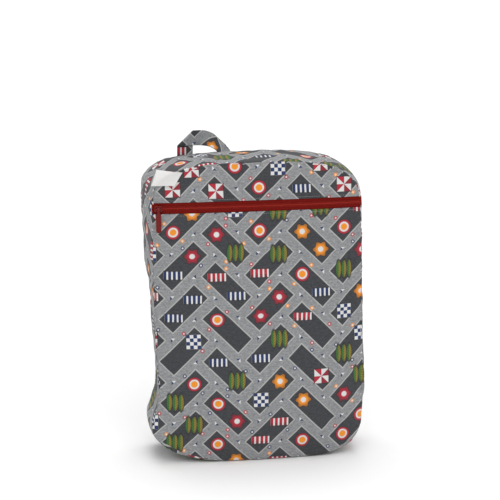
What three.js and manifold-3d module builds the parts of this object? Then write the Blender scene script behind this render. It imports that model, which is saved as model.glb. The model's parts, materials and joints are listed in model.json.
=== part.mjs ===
// A cloth wet bag: a stuffed, zipped pouch of printed cloth that stands on its foot, with a hanging loop at its back edge.
// Lengths are millimetres. X runs to the right seen from the front, Y to the back and Z up.
// The origin is on the ground, under the middle of the bag.
import * as THREE from "three";
import { mergeVertices } from "three/addons/utils/BufferGeometryUtils.js";
import Module from "manifold-3d";

const wasm = await Module();
wasm.setup();
const { lerp, smoothstep, clamp, degToRad } = THREE.MathUtils;

// Cloth body
const panelWidth = 285; // across a panel, from side seam to side seam
const panelHeight = 403; // from the ground to the top seam
const gussetDepth = 80; // of the band that joins the two panels
const clothWall = 1.8; // printed outer cloth and its waterproof backing
const seamGap = 0.3; // between two pieces that are sewn together
const seamBow = 10; // how far the long seams stand out halfway across
const panelCrown = 10; // how far a panel swells past its seams
const crownPower = 5; // how flat the middle of the swelling is

// Zipper
const zipperHeight = 345; // of the teeth above the ground
const slotHeight = 15; // of the zipper that shows between the folded edges of the cloth
const tapeWall = 1.0;
const tapeRecess = 0.4; // how far the tape lies behind the cloth's face
const teethHeight = 5.0;
const teethWall = 2.2;
const teethProud = 0.9; // how far the teeth stand in front of the cloth
const zipperOverrun = 2.0; // how far the zipper passes each side seam

// Slider and pull
const sliderLength = 11;
const sliderHeight = 9;
const sliderWall = 1.2;
const sliderFromSeam = 2.4; // from the left seam to the slider's nose
const runningGap = 0.4; // between the slider and what it runs on
const postLength = 3; // of the web that joins its two plates
const bridgeWire = 1.6; // side of the square wire that holds the pull
const bridgePlay = 1.2; // more room beside the eye
const eyeWall = 1.3;
const eyeWidth = 3.4;
const pullLength = 31; // from the hinge to the tip
const pullWidth = 6.8;
const pullWall = 1.8;

// Hanging loop, a flat strap of doubled cloth
const strapWidth = 24;
const strapWall = 2.6;
const strapFromSeam = 53.5; // from the left seam to the middle of the left leg
const strapSpan = 56; // between the middles of the two legs
const strapRise = 19.5; // of the strap's middle line over the top seam
const strapInset = 5; // from the back face of the gusset to the strap's middle

// Label, a tag that hangs over the front above the zipper
const labelWidth = 35;
const labelWall = 0.9;
const labelFromSeam = 9.5; // from the left seam to its top left corner
const labelLean = 7; // how far its foot lies to the left of its top
const labelTopShare = 0.78; // its top and its drop as shares of the height of the front above the zipper
const labelDropShare = 0.36;

// Fineness of the meshes
const cornerSteps = 11;
const sideSteps = 11;
const levelSteps = 4;
const bandSteps = 4;
const zipperSteps = 22;
const strapSteps = 26;

// One row for each height, from the foot to the top: shares of the half width of each panel, of the gusset's depth and
// of the swelling, how far the gusset's middle stands out (+) or is tucked in (-) as a share of its depth, and how far
// the bag leans to the right as a share of its half width.
const sections = [
  { height: 0.0, front: 1.0, back: 0.98, depth: 1.02, swell: 1.0, puff: 0.0, lean: 0.005 },
  { height: 0.11, front: 1.0, back: 0.97, depth: 1.06, swell: 1.0, puff: 0.02, lean: 0.0 },
  { height: 0.24, front: 0.98, back: 0.925, depth: 1.06, swell: 1.0, puff: -0.06, lean: 0.045 },
  { height: 0.5, front: 0.986, back: 0.95, depth: 1.0, swell: 0.8, puff: -0.03, lean: 0.02 },
  { height: 0.7, front: 0.98, back: 0.99, depth: 1.0, swell: 0.45, puff: 0.03, lean: 0.008 },
  { height: 0.88, front: 0.97, back: 1.01, depth: 1.0, swell: 0.3, puff: 0.05, lean: 0.004 },
  { height: 1.0, front: 0.975, back: 0.99, depth: 0.95, swell: 0.4, puff: 0.02, lean: 0.004 },
];

// One row for each corner of a panel: its side (1 is right or top), how far it takes up of the half width and of the
// height, and how square it is (2 is an ellipse).
const corners = {
  front: [
    { right: 1, top: -1, across: 0.56, up: 0.13, squareness: 2.35 },
    { right: 1, top: 1, across: 0.88, up: 0.17, squareness: 2.8 },
    { right: -1, top: 1, across: 0.92, up: 0.13, squareness: 2.9 },
    { right: -1, top: -1, across: 0.74, up: 0.125, squareness: 1.95 },
  ],
  back: [
    { right: 1, top: -1, across: 0.6, up: 0.13, squareness: 2.35 },
    { right: 1, top: 1, across: 0.88, up: 0.16, squareness: 2.9 },
    { right: -1, top: 1, across: 0.94, up: 0.11, squareness: 3.1 },
    { right: -1, top: -1, across: 0.7, up: 0.135, squareness: 2.1 },
  ],
};

// One row for each long fold or dent in a panel: its middle as shares of the half width and the height, its half length
// and half breadth as shares of the half width, its turn from level in degrees, and its depth as a share of the crown.
const folds = {
  front: [
    { across: -0.3, up: 0.92, long: 0.36, broad: 0.08, turn: -16, depth: 0.14 },
    { across: 0.55, up: 0.94, long: 0.34, broad: 0.07, turn: 18, depth: 0.18 },
    { across: -0.86, up: 0.68, long: 0.3, broad: 0.06, turn: 72, depth: 0.2 },
    { across: 0.84, up: 0.52, long: 0.4, broad: 0.08, turn: 84, depth: 0.18 },
    { across: -0.7, up: 0.12, long: 0.32, broad: 0.08, turn: 46, depth: 0.24 },
    { across: 0.72, up: 0.11, long: 0.3, broad: 0.08, turn: -44, depth: 0.24 },
  ],
  back: [
    { across: -0.5, up: 0.9, long: 0.4, broad: 0.08, turn: 70, depth: 0.24 },
    { across: 0.6, up: 0.86, long: 0.4, broad: 0.08, turn: -50, depth: 0.2 },
    { across: 0.1, up: 0.55, long: 0.6, broad: 0.12, turn: 12, depth: 0.2 },
    { across: -0.68, up: 0.14, long: 0.36, broad: 0.08, turn: 42, depth: 0.22 },
    { across: 0.7, up: 0.14, long: 0.34, broad: 0.08, turn: -42, depth: 0.22 },
  ],
};

// One row for each place along the strap's middle line: shares of its span and its rise, the clockwise turn of its width
// in degrees, its shown width as a share of the full one, and how far it stands behind its base, in walls.
const strapRows = [
  { along: 0.0, rise: -1.1, turn: 0, shown: 1.0, behind: 0.0 },
  { along: 0.0, rise: 0.0, turn: 2, shown: 0.98, behind: 0.2 },
  { along: 0.02, rise: 0.3, turn: 10, shown: 0.9, behind: 0.3 },
  { along: 0.1, rise: 0.66, turn: 34, shown: 0.72, behind: 0.2 },
  { along: 0.28, rise: 0.93, turn: 70, shown: 0.84, behind: 0.0 },
  { along: 0.49, rise: 1.0, turn: 90, shown: 0.97, behind: -0.2 },
  { along: 0.68, rise: 0.81, turn: 106, shown: 0.8, behind: 0.0 },
  { along: 0.86, rise: 0.48, turn: 130, shown: 0.58, behind: 0.3 },
  { along: 0.96, rise: 0.16, turn: 160, shown: 0.64, behind: 0.5 },
  { along: 1.0, rise: -0.1, turn: 174, shown: 0.78, behind: 0.5 },
  { along: 1.0, rise: -1.1, turn: 180, shown: 0.84, behind: 0.3 },
];

const cloth = new THREE.MeshStandardMaterial({ name: "printed cloth", color: 0x77777a, roughness: 0.85, metalness: 0 });
const redTape = new THREE.MeshStandardMaterial({ name: "zipper tape", color: 0x7a1110, roughness: 0.8, metalness: 0 });
const redTeeth = new THREE.MeshStandardMaterial({ name: "zipper teeth", color: 0x8a1512, roughness: 0.45, metalness: 0 });
const redMetal = new THREE.MeshStandardMaterial({ name: "painted metal", color: 0x8c1614, roughness: 0.35, metalness: 0.2 });
const whiteTag = new THREE.MeshStandardMaterial({ name: "label satin", color: 0xf2eef0, roughness: 0.6, metalness: 0 });

const halfWidth = panelWidth / 2;
const slotFoot = zipperHeight - slotHeight / 2;
const slotTop = zipperHeight + slotHeight / 2;

// Tables

// A table's columns at a share of the height, blended between the two nearest rows.
function sectionAt(height) {
  const above = sections.find((row) => row.height >= height) ?? sections.at(-1);
  const below = sections[Math.max(sections.indexOf(above) - 1, 0)];
  const blend = smoothstep(height, below.height, above.height);
  return Object.fromEntries(Object.keys(above).map((name) => [name, lerp(below[name], above[name], blend)]));
}

// The relief that the long folds press into a panel at x across and z up.
function foldDepth(side, x, z) {
  return folds[side].reduce((sum, fold) => {
    const turn = degToRad(fold.turn);
    const right = x / halfWidth - fold.across;
    const over = (z - fold.up * panelHeight) / halfWidth;
    const along = (right * Math.cos(turn) + over * Math.sin(turn)) / fold.long;
    const beside = (over * Math.cos(turn) - right * Math.sin(turn)) / fold.broad;
    return sum + fold.depth * panelCrown * Math.exp(-(along ** 2) - beside ** 2);
  }, 0);
}

// How far the outside of a panel stands from the bag's middle plane: half the gusset, the bow of its seams and its
// crown, less its folds.
function reach(side, x, z) {
  const section = sectionAt(z / panelHeight);
  const across = Math.min(Math.abs(x) / halfWidth, 1);
  const up = Math.min(Math.abs((2 * z) / panelHeight - 1), 1);
  const bow = seamBow * (1 - across ** 2);
  const crown = panelCrown * (1 - across ** crownPower) * (1 - up ** crownPower);
  return (gussetDepth / 2) * section.depth + section.swell * (bow + crown) - foldDepth(side, x, z);
}

// Panel outline

// The sizes of one corner in millimetres.
function cornerSizes(corner) {
  return { wide: corner.across * halfWidth, tall: corner.up * panelHeight, power: corner.squareness };
}

// A panel's outline anticlockwise from its foot, seen from the front: superellipse corners joined by straight stretches,
// each height then narrowed to its share and leant.
function outline(side) {
  const runs = corners[side].map((corner) => {
    const { wide, tall, power } = cornerSizes(corner);
    const middleX = corner.right * (halfWidth - wide);
    const middleZ = corner.top > 0 ? panelHeight - tall : tall;
    const start = Math.atan2(corner.top, corner.right) - Math.PI / 4;
    return Array.from({ length: cornerSteps + 1 }, (_, i) => {
      const turn = start + (i / cornerSteps) * (Math.PI / 2);
      const [c, s] = [Math.cos(turn), Math.sin(turn)];
      const far = (Math.abs(c) ** power + Math.abs(s) ** power) ** (-1 / power);
      return { x: middleX + wide * far * c, z: middleZ + tall * far * s };
    });
  });
  const points = runs.flatMap((run, i) => {
    const next = runs[(i + 1) % runs.length][0];
    const steps = i % 2 ? levelSteps : sideSteps;
    const straight = Array.from({ length: steps - 1 }, (_, k) => ({
      x: lerp(run.at(-1).x, next.x, (k + 1) / steps),
      z: lerp(run.at(-1).z, next.z, (k + 1) / steps),
    }));
    return [...run, ...straight];
  });
  return points.map(({ x, z }) => {
    const section = sectionAt(z / panelHeight);
    return { x: x * section[side] + section.lean * halfWidth, z };
  });
}

// Where a panel's side edge is at a height, on the right (1) or the left (-1).
function edgeAt(side, right, z) {
  const corner = corners[side].find((row) => row.right === right && row.top > 0 === z > panelHeight / 2);
  const { wide, tall, power } = cornerSizes(corner);
  const nearest = corner.top > 0 ? panelHeight - z : z;
  const into = clamp(1 - nearest / tall, 0, 1);
  const flat = halfWidth - wide + wide * (1 - into ** power) ** (1 / power);
  const section = sectionAt(z / panelHeight);
  return right * flat * section[side] + section.lean * halfWidth;
}

// Meshes

// A closed mesh through a row of loops with equally many points: joined end to end, or else capped by fans.
function loft(loops, joined = false) {
  const count = loops[0].length;
  const points = loops.flat();
  const index = [];
  for (let j = 0; j < loops.length - (joined ? 0 : 1); j += 1) {
    const [here, there] = [j * count, ((j + 1) % loops.length) * count];
    for (let i = 0; i < count; i += 1) {
      const next = (i + 1) % count;
      index.push(here + i, here + next, there + next, here + i, there + next, there + i);
    }
  }
  if (!joined) {
    [loops[0], loops.at(-1)].forEach((loop, end) => {
      const middle = loop.reduce((sum, point) => sum.add(point), new THREE.Vector3()).divideScalar(count);
      const first = end * (loops.length - 1) * count;
      points.push(middle);
      for (let i = 0; i < count; i += 1) {
        const [a, b] = [first + i, first + ((i + 1) % count)];
        index.push(points.length - 1, ...(end ? [a, b] : [b, a]));
      }
    });
  }
  const geometry = new THREE.BufferGeometry().setFromPoints(points).setIndex(index);
  return volumeOf(geometry) < 0 ? geometry.setIndex(index.reverse()) : geometry;
}

// Six times the volume inside a mesh, negative if its faces point inwards.
function volumeOf(geometry) {
  const place = geometry.attributes.position;
  const at = (k) => new THREE.Vector3().fromBufferAttribute(place, geometry.index.getX(k));
  let sum = 0;
  for (let k = 0; k < geometry.index.count; k += 3) sum += at(k).dot(at(k + 1).cross(at(k + 2)));
  return sum;
}

function solidOf(geometry) {
  const bare = geometry.clone();
  bare.deleteAttribute("normal");
  bare.deleteAttribute("uv");
  const merged = mergeVertices(bare);
  const triVerts = new Uint32Array(merged.index.array);
  return new wasm.Manifold(new wasm.Mesh({ numProp: 3, vertProperties: merged.attributes.position.array, triVerts }));
}

function geometryOf(solid) {
  const { vertProperties, triVerts } = solid.getMesh();
  const geometry = new THREE.BufferGeometry();
  geometry.setAttribute("position", new THREE.BufferAttribute(vertProperties, 3));
  geometry.setIndex(new THREE.BufferAttribute(triVerts, 1));
  return geometry;
}

// An upright plate: a shape drawn in x and z, from one depth to another.
function plate(shape, nearY, farY) {
  const made = new THREE.ExtrudeGeometry(shape, { depth: farY - nearY, bevelEnabled: false, curveSegments: 5 });
  return solidOf(made.rotateX(Math.PI / 2).translate(0, farY, 0));
}

function boxSolid(width, depth, height, x, y, z) {
  return solidOf(new THREE.BoxGeometry(width, depth, height).translate(x, y, z));
}

function add(parent, name, geometry, material) {
  const mesh = new THREE.Mesh(geometry, material);
  mesh.name = name;
  parent.add(mesh);
}

// Cloth body

const frontOutline = outline("front");
const backOutline = outline("back");

// A panel's cloth: rings of its outline that shrink to its middle, over its outside and back under its inside.
function panelSheet(side) {
  const out = side === "front" ? -1 : 1;
  const shares = [0.2, 0.42, 0.62, 0.78, 0.89, 0.96, 1];
  const middleZ = panelHeight / 2;
  const ring = (share, wall) =>
    (side === "front" ? frontOutline : backOutline).map((point) => {
      const [x, z] = [share * point.x, lerp(middleZ, point.z, share)];
      return new THREE.Vector3(x, out * (reach(side, x, z) - wall), z);
    });
  const outside = shares.map((share) => ring(share, 0));
  const inside = shares.map((share) => ring(share, clothWall)).reverse();
  return loft([...outside, ...inside]);
}

// The front panel is one sheet, parted by the zipper's slot.
const frontSheet = solidOf(panelSheet("front"));
const aboveGround = (low, high) => boxSolid(2 * panelWidth, 2 * gussetDepth, high - low, 0, -gussetDepth, (low + high) / 2);

// The outward direction at each point of the band, square to its mean outline.
const bandNormals = frontOutline.map((_, i) => {
  const around = (k) => (i + k + frontOutline.length) % frontOutline.length;
  const [before, after] = [around(-1), around(1)];
  const alongX = frontOutline[after].x + backOutline[after].x - frontOutline[before].x - backOutline[before].x;
  const alongZ = frontOutline[after].z + backOutline[after].z - frontOutline[before].z - backOutline[before].z;
  return new THREE.Vector3(alongZ, 0, -alongX).normalize();
});

// A point on the band at an outline step and a share of its depth, moved outwards by some distance.
function bandPoint(i, share, inset, outwards) {
  const [front, back] = [frontOutline[i], backOutline[i]];
  const nearY = -reach("front", front.x, front.z) + inset;
  const farY = reach("back", back.x, back.z) - inset;
  const z = lerp(front.z, back.z, share);
  const puff = sectionAt(z / panelHeight).puff * gussetDepth * 4 * share * (1 - share);
  const middle = new THREE.Vector3(lerp(front.x, back.x, share), lerp(nearY, farY, share), z);
  return middle.addScaledVector(bandNormals[i], puff + outwards);
}

const bandShares = Array.from({ length: bandSteps + 1 }, (_, k) => k / bandSteps);

function gussetBand() {
  const inset = clothWall + seamGap;
  const loops = frontOutline.map((_, i) => [
    ...bandShares.map((share) => bandPoint(i, share, inset, 0)),
    ...bandShares.map((share) => bandPoint(i, share, inset, -clothWall)).reverse(),
  ]);
  return loft(loops, true);
}

// The whole body as one block, grown by the seam gap, which what is sewn to it stays clear of.
function bodyBlock() {
  return solidOf(loft(bandShares.map((share) => frontOutline.map((_, i) => bandPoint(i, share, 0, seamGap)))));
}

// Zipper

// A strip along the front panel between two heights, seam to seam, with its front and back at distances behind the cloth.
function strip(lowZ, highZ, near, far, startX) {
  const sides = [lowZ, highZ].map((z) => ({
    z,
    left: startX ?? edgeAt("front", -1, z) - zipperOverrun,
    right: edgeAt("front", 1, z) + zipperOverrun,
  }));
  const loops = Array.from({ length: zipperSteps + 1 }, (_, k) => {
    const [low, high] = sides.map(({ z, left, right }) => ({ z, x: lerp(left, right, k / zipperSteps) }));
    const place = ({ x, z }, behind) => new THREE.Vector3(x, behind - reach("front", x, z), z);
    return [place(low, near), place(high, near), place(high, far), place(low, far)];
  });
  return loft(loops);
}

const teethFoot = zipperHeight - teethHeight / 2;
const teethTop = zipperHeight + teethHeight / 2;

// Slider, drawn with the cloth's face at the origin: x along the zipper, y into the bag

const seamX = Math.max(...[-1, 1].map((end) => edgeAt("front", -1, zipperHeight + (end * sliderHeight) / 2)));
const sliderX = seamX + sliderFromSeam + sliderLength / 2;
const frontPlateY = -teethProud - runningGap - sliderWall;
const backPlateY = teethWall - teethProud + runningGap;
const eyeRadius = bridgeWire * Math.SQRT1_2 + runningGap + eyeWall;
const hingeY = frontPlateY - runningGap - eyeRadius;

// A slider's plate: wide at its closed nose on the left and narrower at its tail.
function sliderShape() {
  const [nose, tail] = [-sliderLength / 2, sliderLength / 2];
  const [wide, narrow] = [sliderHeight / 2, sliderHeight * 0.38];
  const round = sliderLength * 0.18;
  const shape = new THREE.Shape();
  shape.moveTo(nose + round, -wide);
  shape.lineTo(tail - round, -narrow);
  shape.quadraticCurveTo(tail, -narrow, tail, round - narrow);
  shape.lineTo(tail, narrow - round);
  shape.quadraticCurveTo(tail, narrow, tail - round, narrow);
  shape.lineTo(nose + round, wide);
  shape.quadraticCurveTo(nose, wide, nose, wide - round);
  shape.lineTo(nose, round - wide);
  shape.quadraticCurveTo(nose, -wide, nose + round, -wide);
  return shape;
}

function sliderBody() {
  const postHeight = teethHeight - 2 * seamGap;
  const bridgeSpan = 2 * (eyeWidth / 2 + runningGap + bridgeWire) + bridgePlay;
  const legHeight = frontPlateY - hingeY;
  const bar = boxSolid(bridgeSpan, bridgeWire, bridgeWire, 0, hingeY, 0);
  const legs = [-1, 1].map((end) => {
    const x = (end * (bridgeSpan - bridgeWire)) / 2;
    return boxSolid(bridgeWire, legHeight + sliderWall, bridgeWire, x, hingeY + (legHeight + sliderWall) / 2, 0);
  });
  const post = boxSolid(
    postLength,
    backPlateY - frontPlateY,
    postHeight,
    (postLength - sliderLength) / 2,
    (frontPlateY + backPlateY + sliderWall) / 2,
    0,
  );
  return [
    plate(sliderShape(), frontPlateY, frontPlateY + sliderWall),
    plate(sliderShape(), backPlateY, backPlateY + sliderWall),
    post,
    bar,
    ...legs,
  ].reduce((sum, piece) => sum.add(piece));
}

// The pull: an eye round the bridge and a tab that hangs from it.
function pullBody() {
  const ring = new THREE.Shape();
  ring.absarc(0, 0, eyeRadius, 0, 2 * Math.PI);
  const hole = new THREE.Path();
  hole.absarc(0, 0, eyeRadius - eyeWall, 0, 2 * Math.PI);
  ring.holes.push(hole);
  const eye = new THREE.ExtrudeGeometry(ring, { depth: eyeWidth, bevelEnabled: false, curveSegments: 10 });
  eye.rotateY(Math.PI / 2).translate(-eyeWidth / 2, hingeY, 0);
  const [neck, half, foot] = [eyeWidth / 2, pullWidth / 2, -pullLength];
  const shoulder = foot * 0.3;
  const start = eyeWall / 2 - eyeRadius;
  const tab = new THREE.Shape();
  tab.moveTo(-neck, start);
  tab.lineTo(neck, start);
  tab.quadraticCurveTo(neck, shoulder * 0.7, half, shoulder);
  tab.lineTo(half, foot + half);
  tab.absarc(0, foot + half, half, 0, -Math.PI, true);
  tab.lineTo(-half, shoulder);
  tab.quadraticCurveTo(-neck, shoulder * 0.7, -neck, start);
  return solidOf(eye).add(plate(tab, hingeY - pullWall / 2, hingeY + pullWall / 2));
}

// Hanging loop: a flat band along its middle line, cut where it enters the top seam
function strapBand() {
  const strapLeft = strapFromSeam - halfWidth;
  const baseY = reach("back", strapLeft, panelHeight) - strapInset;
  const column = (name) => new THREE.CatmullRomCurve3(strapRows.map((row) => new THREE.Vector3(row[name], 0, 0)));
  const columns = Object.fromEntries(Object.keys(strapRows[0]).map((name) => [name, column(name)]));
  const loops = Array.from({ length: strapSteps + 1 }, (_, k) => {
    const at = (name) => columns[name].getPoint(k / strapSteps).x;
    const turn = -degToRad(at("turn"));
    const middle = new THREE.Vector3(
      strapLeft + at("along") * strapSpan,
      baseY + at("behind") * strapWall,
      panelHeight + at("rise") * strapRise,
    );
    const widthwise = new THREE.Vector3(Math.cos(turn), 0, Math.sin(turn)).multiplyScalar((at("shown") * strapWidth) / 2);
    const through = new THREE.Vector3(0, strapWall / 2, 0);
    return [
      [-1, -1],
      [1, -1],
      [1, 1],
      [-1, 1],
    ].map(([w, t]) => middle.clone().addScaledVector(widthwise, w).addScaledVector(through, t));
  });
  return solidOf(loft(loops)).subtract(bodyBlock());
}

// Label: a tag that lies over the front of the bag below the top seam
function labelTag() {
  const upperHeight = panelHeight - slotTop;
  const shares = [0, 0.25, 0.5, 0.75, 1];
  const loops = shares.map((across) => {
    const place = (drop, lift) => {
      const x = labelFromSeam - halfWidth + across * labelWidth - drop * labelLean;
      const z = slotTop + (labelTopShare - drop * labelDropShare) * upperHeight;
      return new THREE.Vector3(x, -reach("front", x, z) - seamGap - lift, z);
    };
    const behind = shares.map((drop) => place(drop, -clothWall / 2));
    const before = shares.map((drop) => place(drop, labelWall));
    return [...behind, ...before.reverse()];
  });
  return solidOf(loft(loops)).subtract(frontSheet.translate([0, -seamGap, 0]));
}

const bag = new THREE.Group();
add(bag, "front_panel_lower", geometryOf(frontSheet.intersect(aboveGround(-panelHeight, slotFoot))), cloth);
add(bag, "front_panel_upper", geometryOf(frontSheet.intersect(aboveGround(slotTop, 2 * panelHeight))), cloth);
add(bag, "back_panel", panelSheet("back"), cloth);
add(bag, "gusset", gussetBand(), cloth);
add(bag, "zipper_tape_lower", strip(slotFoot + seamGap, teethFoot - seamGap, tapeRecess, tapeRecess + tapeWall), redTape);
add(bag, "zipper_tape_upper", strip(teethTop + seamGap, slotTop - seamGap, tapeRecess, tapeRecess + tapeWall), redTape);
const teethStart = sliderX - sliderLength / 2 + postLength + seamGap;
add(bag, "zipper_teeth", strip(teethFoot, teethTop, -teethProud, teethWall - teethProud, teethStart), redTeeth);
add(bag, "strap_loop", geometryOf(strapBand()), cloth);
add(bag, "label_tag", geometryOf(labelTag()), whiteTag);

// The slider lies along the cloth, which slopes back towards the side seam.
const slider = new THREE.Group();
slider.position.set(sliderX, -reach("front", sliderX, zipperHeight), zipperHeight);
const [leftReach, rightReach] = [-1, 1].map((end) => reach("front", sliderX + (end * sliderLength) / 2, zipperHeight));
slider.rotation.z = Math.atan2(leftReach - rightReach, sliderLength);
add(slider, "zipper_slider", geometryOf(sliderBody()), redMetal);
add(slider, "zipper_pull", geometryOf(pullBody()), redMetal);
bag.add(slider);

export default bag;
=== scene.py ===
"""The looks of a stuffed cloth wet bag that stands on its foot: printed cloth, a red zipper, a hanging loop and a tag.

Lengths are in metres. X points to the right seen from the front, Y to the back and Z up, and the origin is on the
ground under the middle of the foot. The pieces are fitted to the boxes of the solids that they stand for.
"""

import functools
import json
import math

import bpy
import numpy as np
from bpy.props import FloatProperty, FloatVectorProperty, IntProperty, PointerProperty
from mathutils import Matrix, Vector


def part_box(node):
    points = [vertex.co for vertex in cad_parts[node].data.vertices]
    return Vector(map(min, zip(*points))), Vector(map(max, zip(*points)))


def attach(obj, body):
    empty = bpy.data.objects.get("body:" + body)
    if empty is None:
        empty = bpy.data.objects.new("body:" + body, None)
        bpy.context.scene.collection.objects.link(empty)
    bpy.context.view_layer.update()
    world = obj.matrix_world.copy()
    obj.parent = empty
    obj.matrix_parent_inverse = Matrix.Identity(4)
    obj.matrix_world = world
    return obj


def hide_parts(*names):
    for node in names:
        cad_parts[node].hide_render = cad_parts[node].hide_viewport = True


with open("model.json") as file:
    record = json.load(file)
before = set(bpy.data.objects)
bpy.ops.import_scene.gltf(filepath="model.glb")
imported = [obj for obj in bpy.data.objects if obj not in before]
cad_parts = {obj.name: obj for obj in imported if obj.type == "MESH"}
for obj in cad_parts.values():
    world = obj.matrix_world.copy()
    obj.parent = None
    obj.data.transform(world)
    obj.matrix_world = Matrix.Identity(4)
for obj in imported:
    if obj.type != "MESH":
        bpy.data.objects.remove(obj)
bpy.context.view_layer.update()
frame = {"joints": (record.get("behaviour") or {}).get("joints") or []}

bl_info = {
    "name": "Cloth wet bag",
    "version": (1, 0, 0),
    "blender": (4, 5, 0),
    "location": "3D View > Sidebar > Wet bag",
    "description": "Dresses a zipped cloth wet bag that stands on its foot",
    "category": "Object",
}

MM = 0.001
BAG = "bag"
PULL = "pull"
SIDES = ("front", "back")
UP = np.array([0.0, 0.0, 1.0])

# The solids that the looks are fitted to
panel_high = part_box("back_panel")[1]
teeth_low, teeth_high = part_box("zipper_teeth")
lower_panel_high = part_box("front_panel_lower")[1]
upper_panel_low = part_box("front_panel_upper")[0]


# Tables of shares

# One row for each height: the half widths of the two panels, the gusset's depth, how much of the bow and crown is
# left, how far the gusset puffs out and how far the bag leans to the right
SECTION_COLUMNS = ("height", "front", "back", "depth", "swell", "puff", "lean")
SECTION_ROWS = (
    (0.0, 1.0, 0.98, 1.02, 1.0, 0.0, 0.005),
    (0.11, 1.0, 0.97, 1.06, 1.0, 0.02, 0.0),
    (0.24, 0.98, 0.925, 1.06, 1.0, -0.06, 0.045),
    (0.5, 0.986, 0.95, 1.0, 0.8, -0.03, 0.02),
    (0.7, 0.98, 0.99, 1.0, 0.45, 0.03, 0.008),
    (0.88, 0.97, 1.01, 1.0, 0.3, 0.05, 0.004),
    (1.0, 0.975, 0.99, 0.95, 0.4, 0.02, 0.004),
)
SECTIONS = dict(zip(SECTION_COLUMNS, np.array(SECTION_ROWS).T))

# Each corner by its panel, 1 for right or -1 for left, and 1 for top or -1 for foot: its share of the half width, its
# share of the height and its squareness
CORNERS = {
    ("front", 1, -1): (0.56, 0.13, 2.35),
    ("front", 1, 1): (0.88, 0.17, 2.8),
    ("front", -1, 1): (0.92, 0.13, 2.9),
    ("front", -1, -1): (0.74, 0.125, 1.95),
    ("back", 1, -1): (0.6, 0.13, 2.35),
    ("back", 1, 1): (0.88, 0.16, 2.9),
    ("back", -1, 1): (0.94, 0.11, 3.1),
    ("back", -1, -1): (0.7, 0.135, 2.1),
}

# Middle across in half widths and up in heights, half length and half breadth in half widths, turn in degrees, and
# depth as a share of the crown
FOLDS = {
    "front": (
        (-0.3, 0.92, 0.36, 0.08, -16, 0.14),
        (0.55, 0.94, 0.34, 0.07, 18, 0.18),
        (-0.86, 0.68, 0.3, 0.06, 72, 0.2),
        (0.84, 0.52, 0.4, 0.08, 84, 0.18),
        (-0.7, 0.12, 0.32, 0.08, 46, 0.24),
        (0.72, 0.11, 0.3, 0.08, -44, 0.24),
    ),
    "back": (
        (-0.5, 0.9, 0.4, 0.08, 70, 0.24),
        (0.6, 0.86, 0.4, 0.08, -50, 0.2),
        (0.1, 0.55, 0.6, 0.12, 12, 0.2),
        (-0.68, 0.14, 0.36, 0.08, 42, 0.22),
        (0.7, 0.14, 0.34, 0.08, -42, 0.22),
    ),
}


CORNER_STEPS = 90
SIDE_STEPS = 200

# The seams waver by a sum of waves, each with its own number of turns round the panel, from just over the foot
SEAM_WAVES = (17, 23, 31, 43, 59)
SEAM_SEED = 11
STILL_FOOT = 4 * MM
STILL_FADE = 25 * MM


# Places and profiles

# How the cloth of the bag moves while it settles
CLOTH_SETTINGS = {
    "quality": 6,
    "mass": 0.15,
    "air_damping": 2.0,
    "tension_stiffness": 18,
    "compression_stiffness": 18,
    "shear_stiffness": 8,
    "bending_stiffness": 0.35,
    "pin_stiffness": 1.0,
}
HELD_FOOT = 3 * MM

# Where the tag and the loop are sewn on, so the cloth keeps still: the middle of each place and its half widths
HELD_PLACES = (
    ((-119 * MM, -40 * MM, 383 * MM), (28 * MM, 30 * MM, 22 * MM)),
    ((-60 * MM, 36 * MM, 403 * MM), (50 * MM, 16 * MM, 16 * MM)),
)

# The cloth that turns in at a seam, in rows of equal length that each draw a little way off the seam line
TURN_ROWS = 4
SEAM_GAP = 0.12 * MM

# The fold along the zipper's slot, row by row: how far it stands over the slot and how far behind the face, in walls
SLOT_FOLD = ((0.2, 0.35), (0.25, 1.0), (-0.7, 1.6), (-4.0, 1.7))

# A tape from its outer edge to the middle of the zipper: rise and depth behind the cloth's face, in millimetres
TAPE_PROFILE = (
    (9.6, 2.2),
    (8.6, 2.1),
    (7.7, 1.8),
    (6.8, 1.3),
    (5.8, 0.95),
    (4.8, 0.8),
    (3.9, 0.8),
    (3.0, 0.92),
    (1.6, 1.0),
    (0.12, 1.0),
)
TAPE_STEPS = 260
TAPE_BEVEL = 0.18 * MM
ZIPPER_TURN = 1.4 * MM
TAPE_ENDING = 4 * MM
TAPE_NARROWING = 0.24

# One tooth of the coil, ring by ring: rise, half width, half depth and depth behind the face, in millimetres, for a
# tooth of TOOTH_WIDTH
TOOTH_RINGS = (
    (3.0, 0.16, 0.26, 0.72),
    (2.7, 0.27, 0.42, 0.44),
    (2.0, 0.3, 0.55, 0.0),
    (1.0, 0.3, 0.64, -0.2),
    (0.2, 0.34, 0.66, -0.22),
    (-0.45, 0.35, 0.6, -0.12),
    (-0.8, 0.2, 0.34, 0.0),
)
TOOTH_WIDTH = 0.72 * MM
TEETH_END = 0.4 * MM

# A stitch: share of its half length and of its radius at each ring
STITCH_RINGS = ((-1, 0.25), (-0.93, 0.72), (-0.75, 1), (0.75, 1), (0.93, 0.72), (1, 0.25))
STITCH_RISE = 10 * MM
STITCH_SINK = 0.02 * MM
STITCH_INSET = 5 * MM

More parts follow.
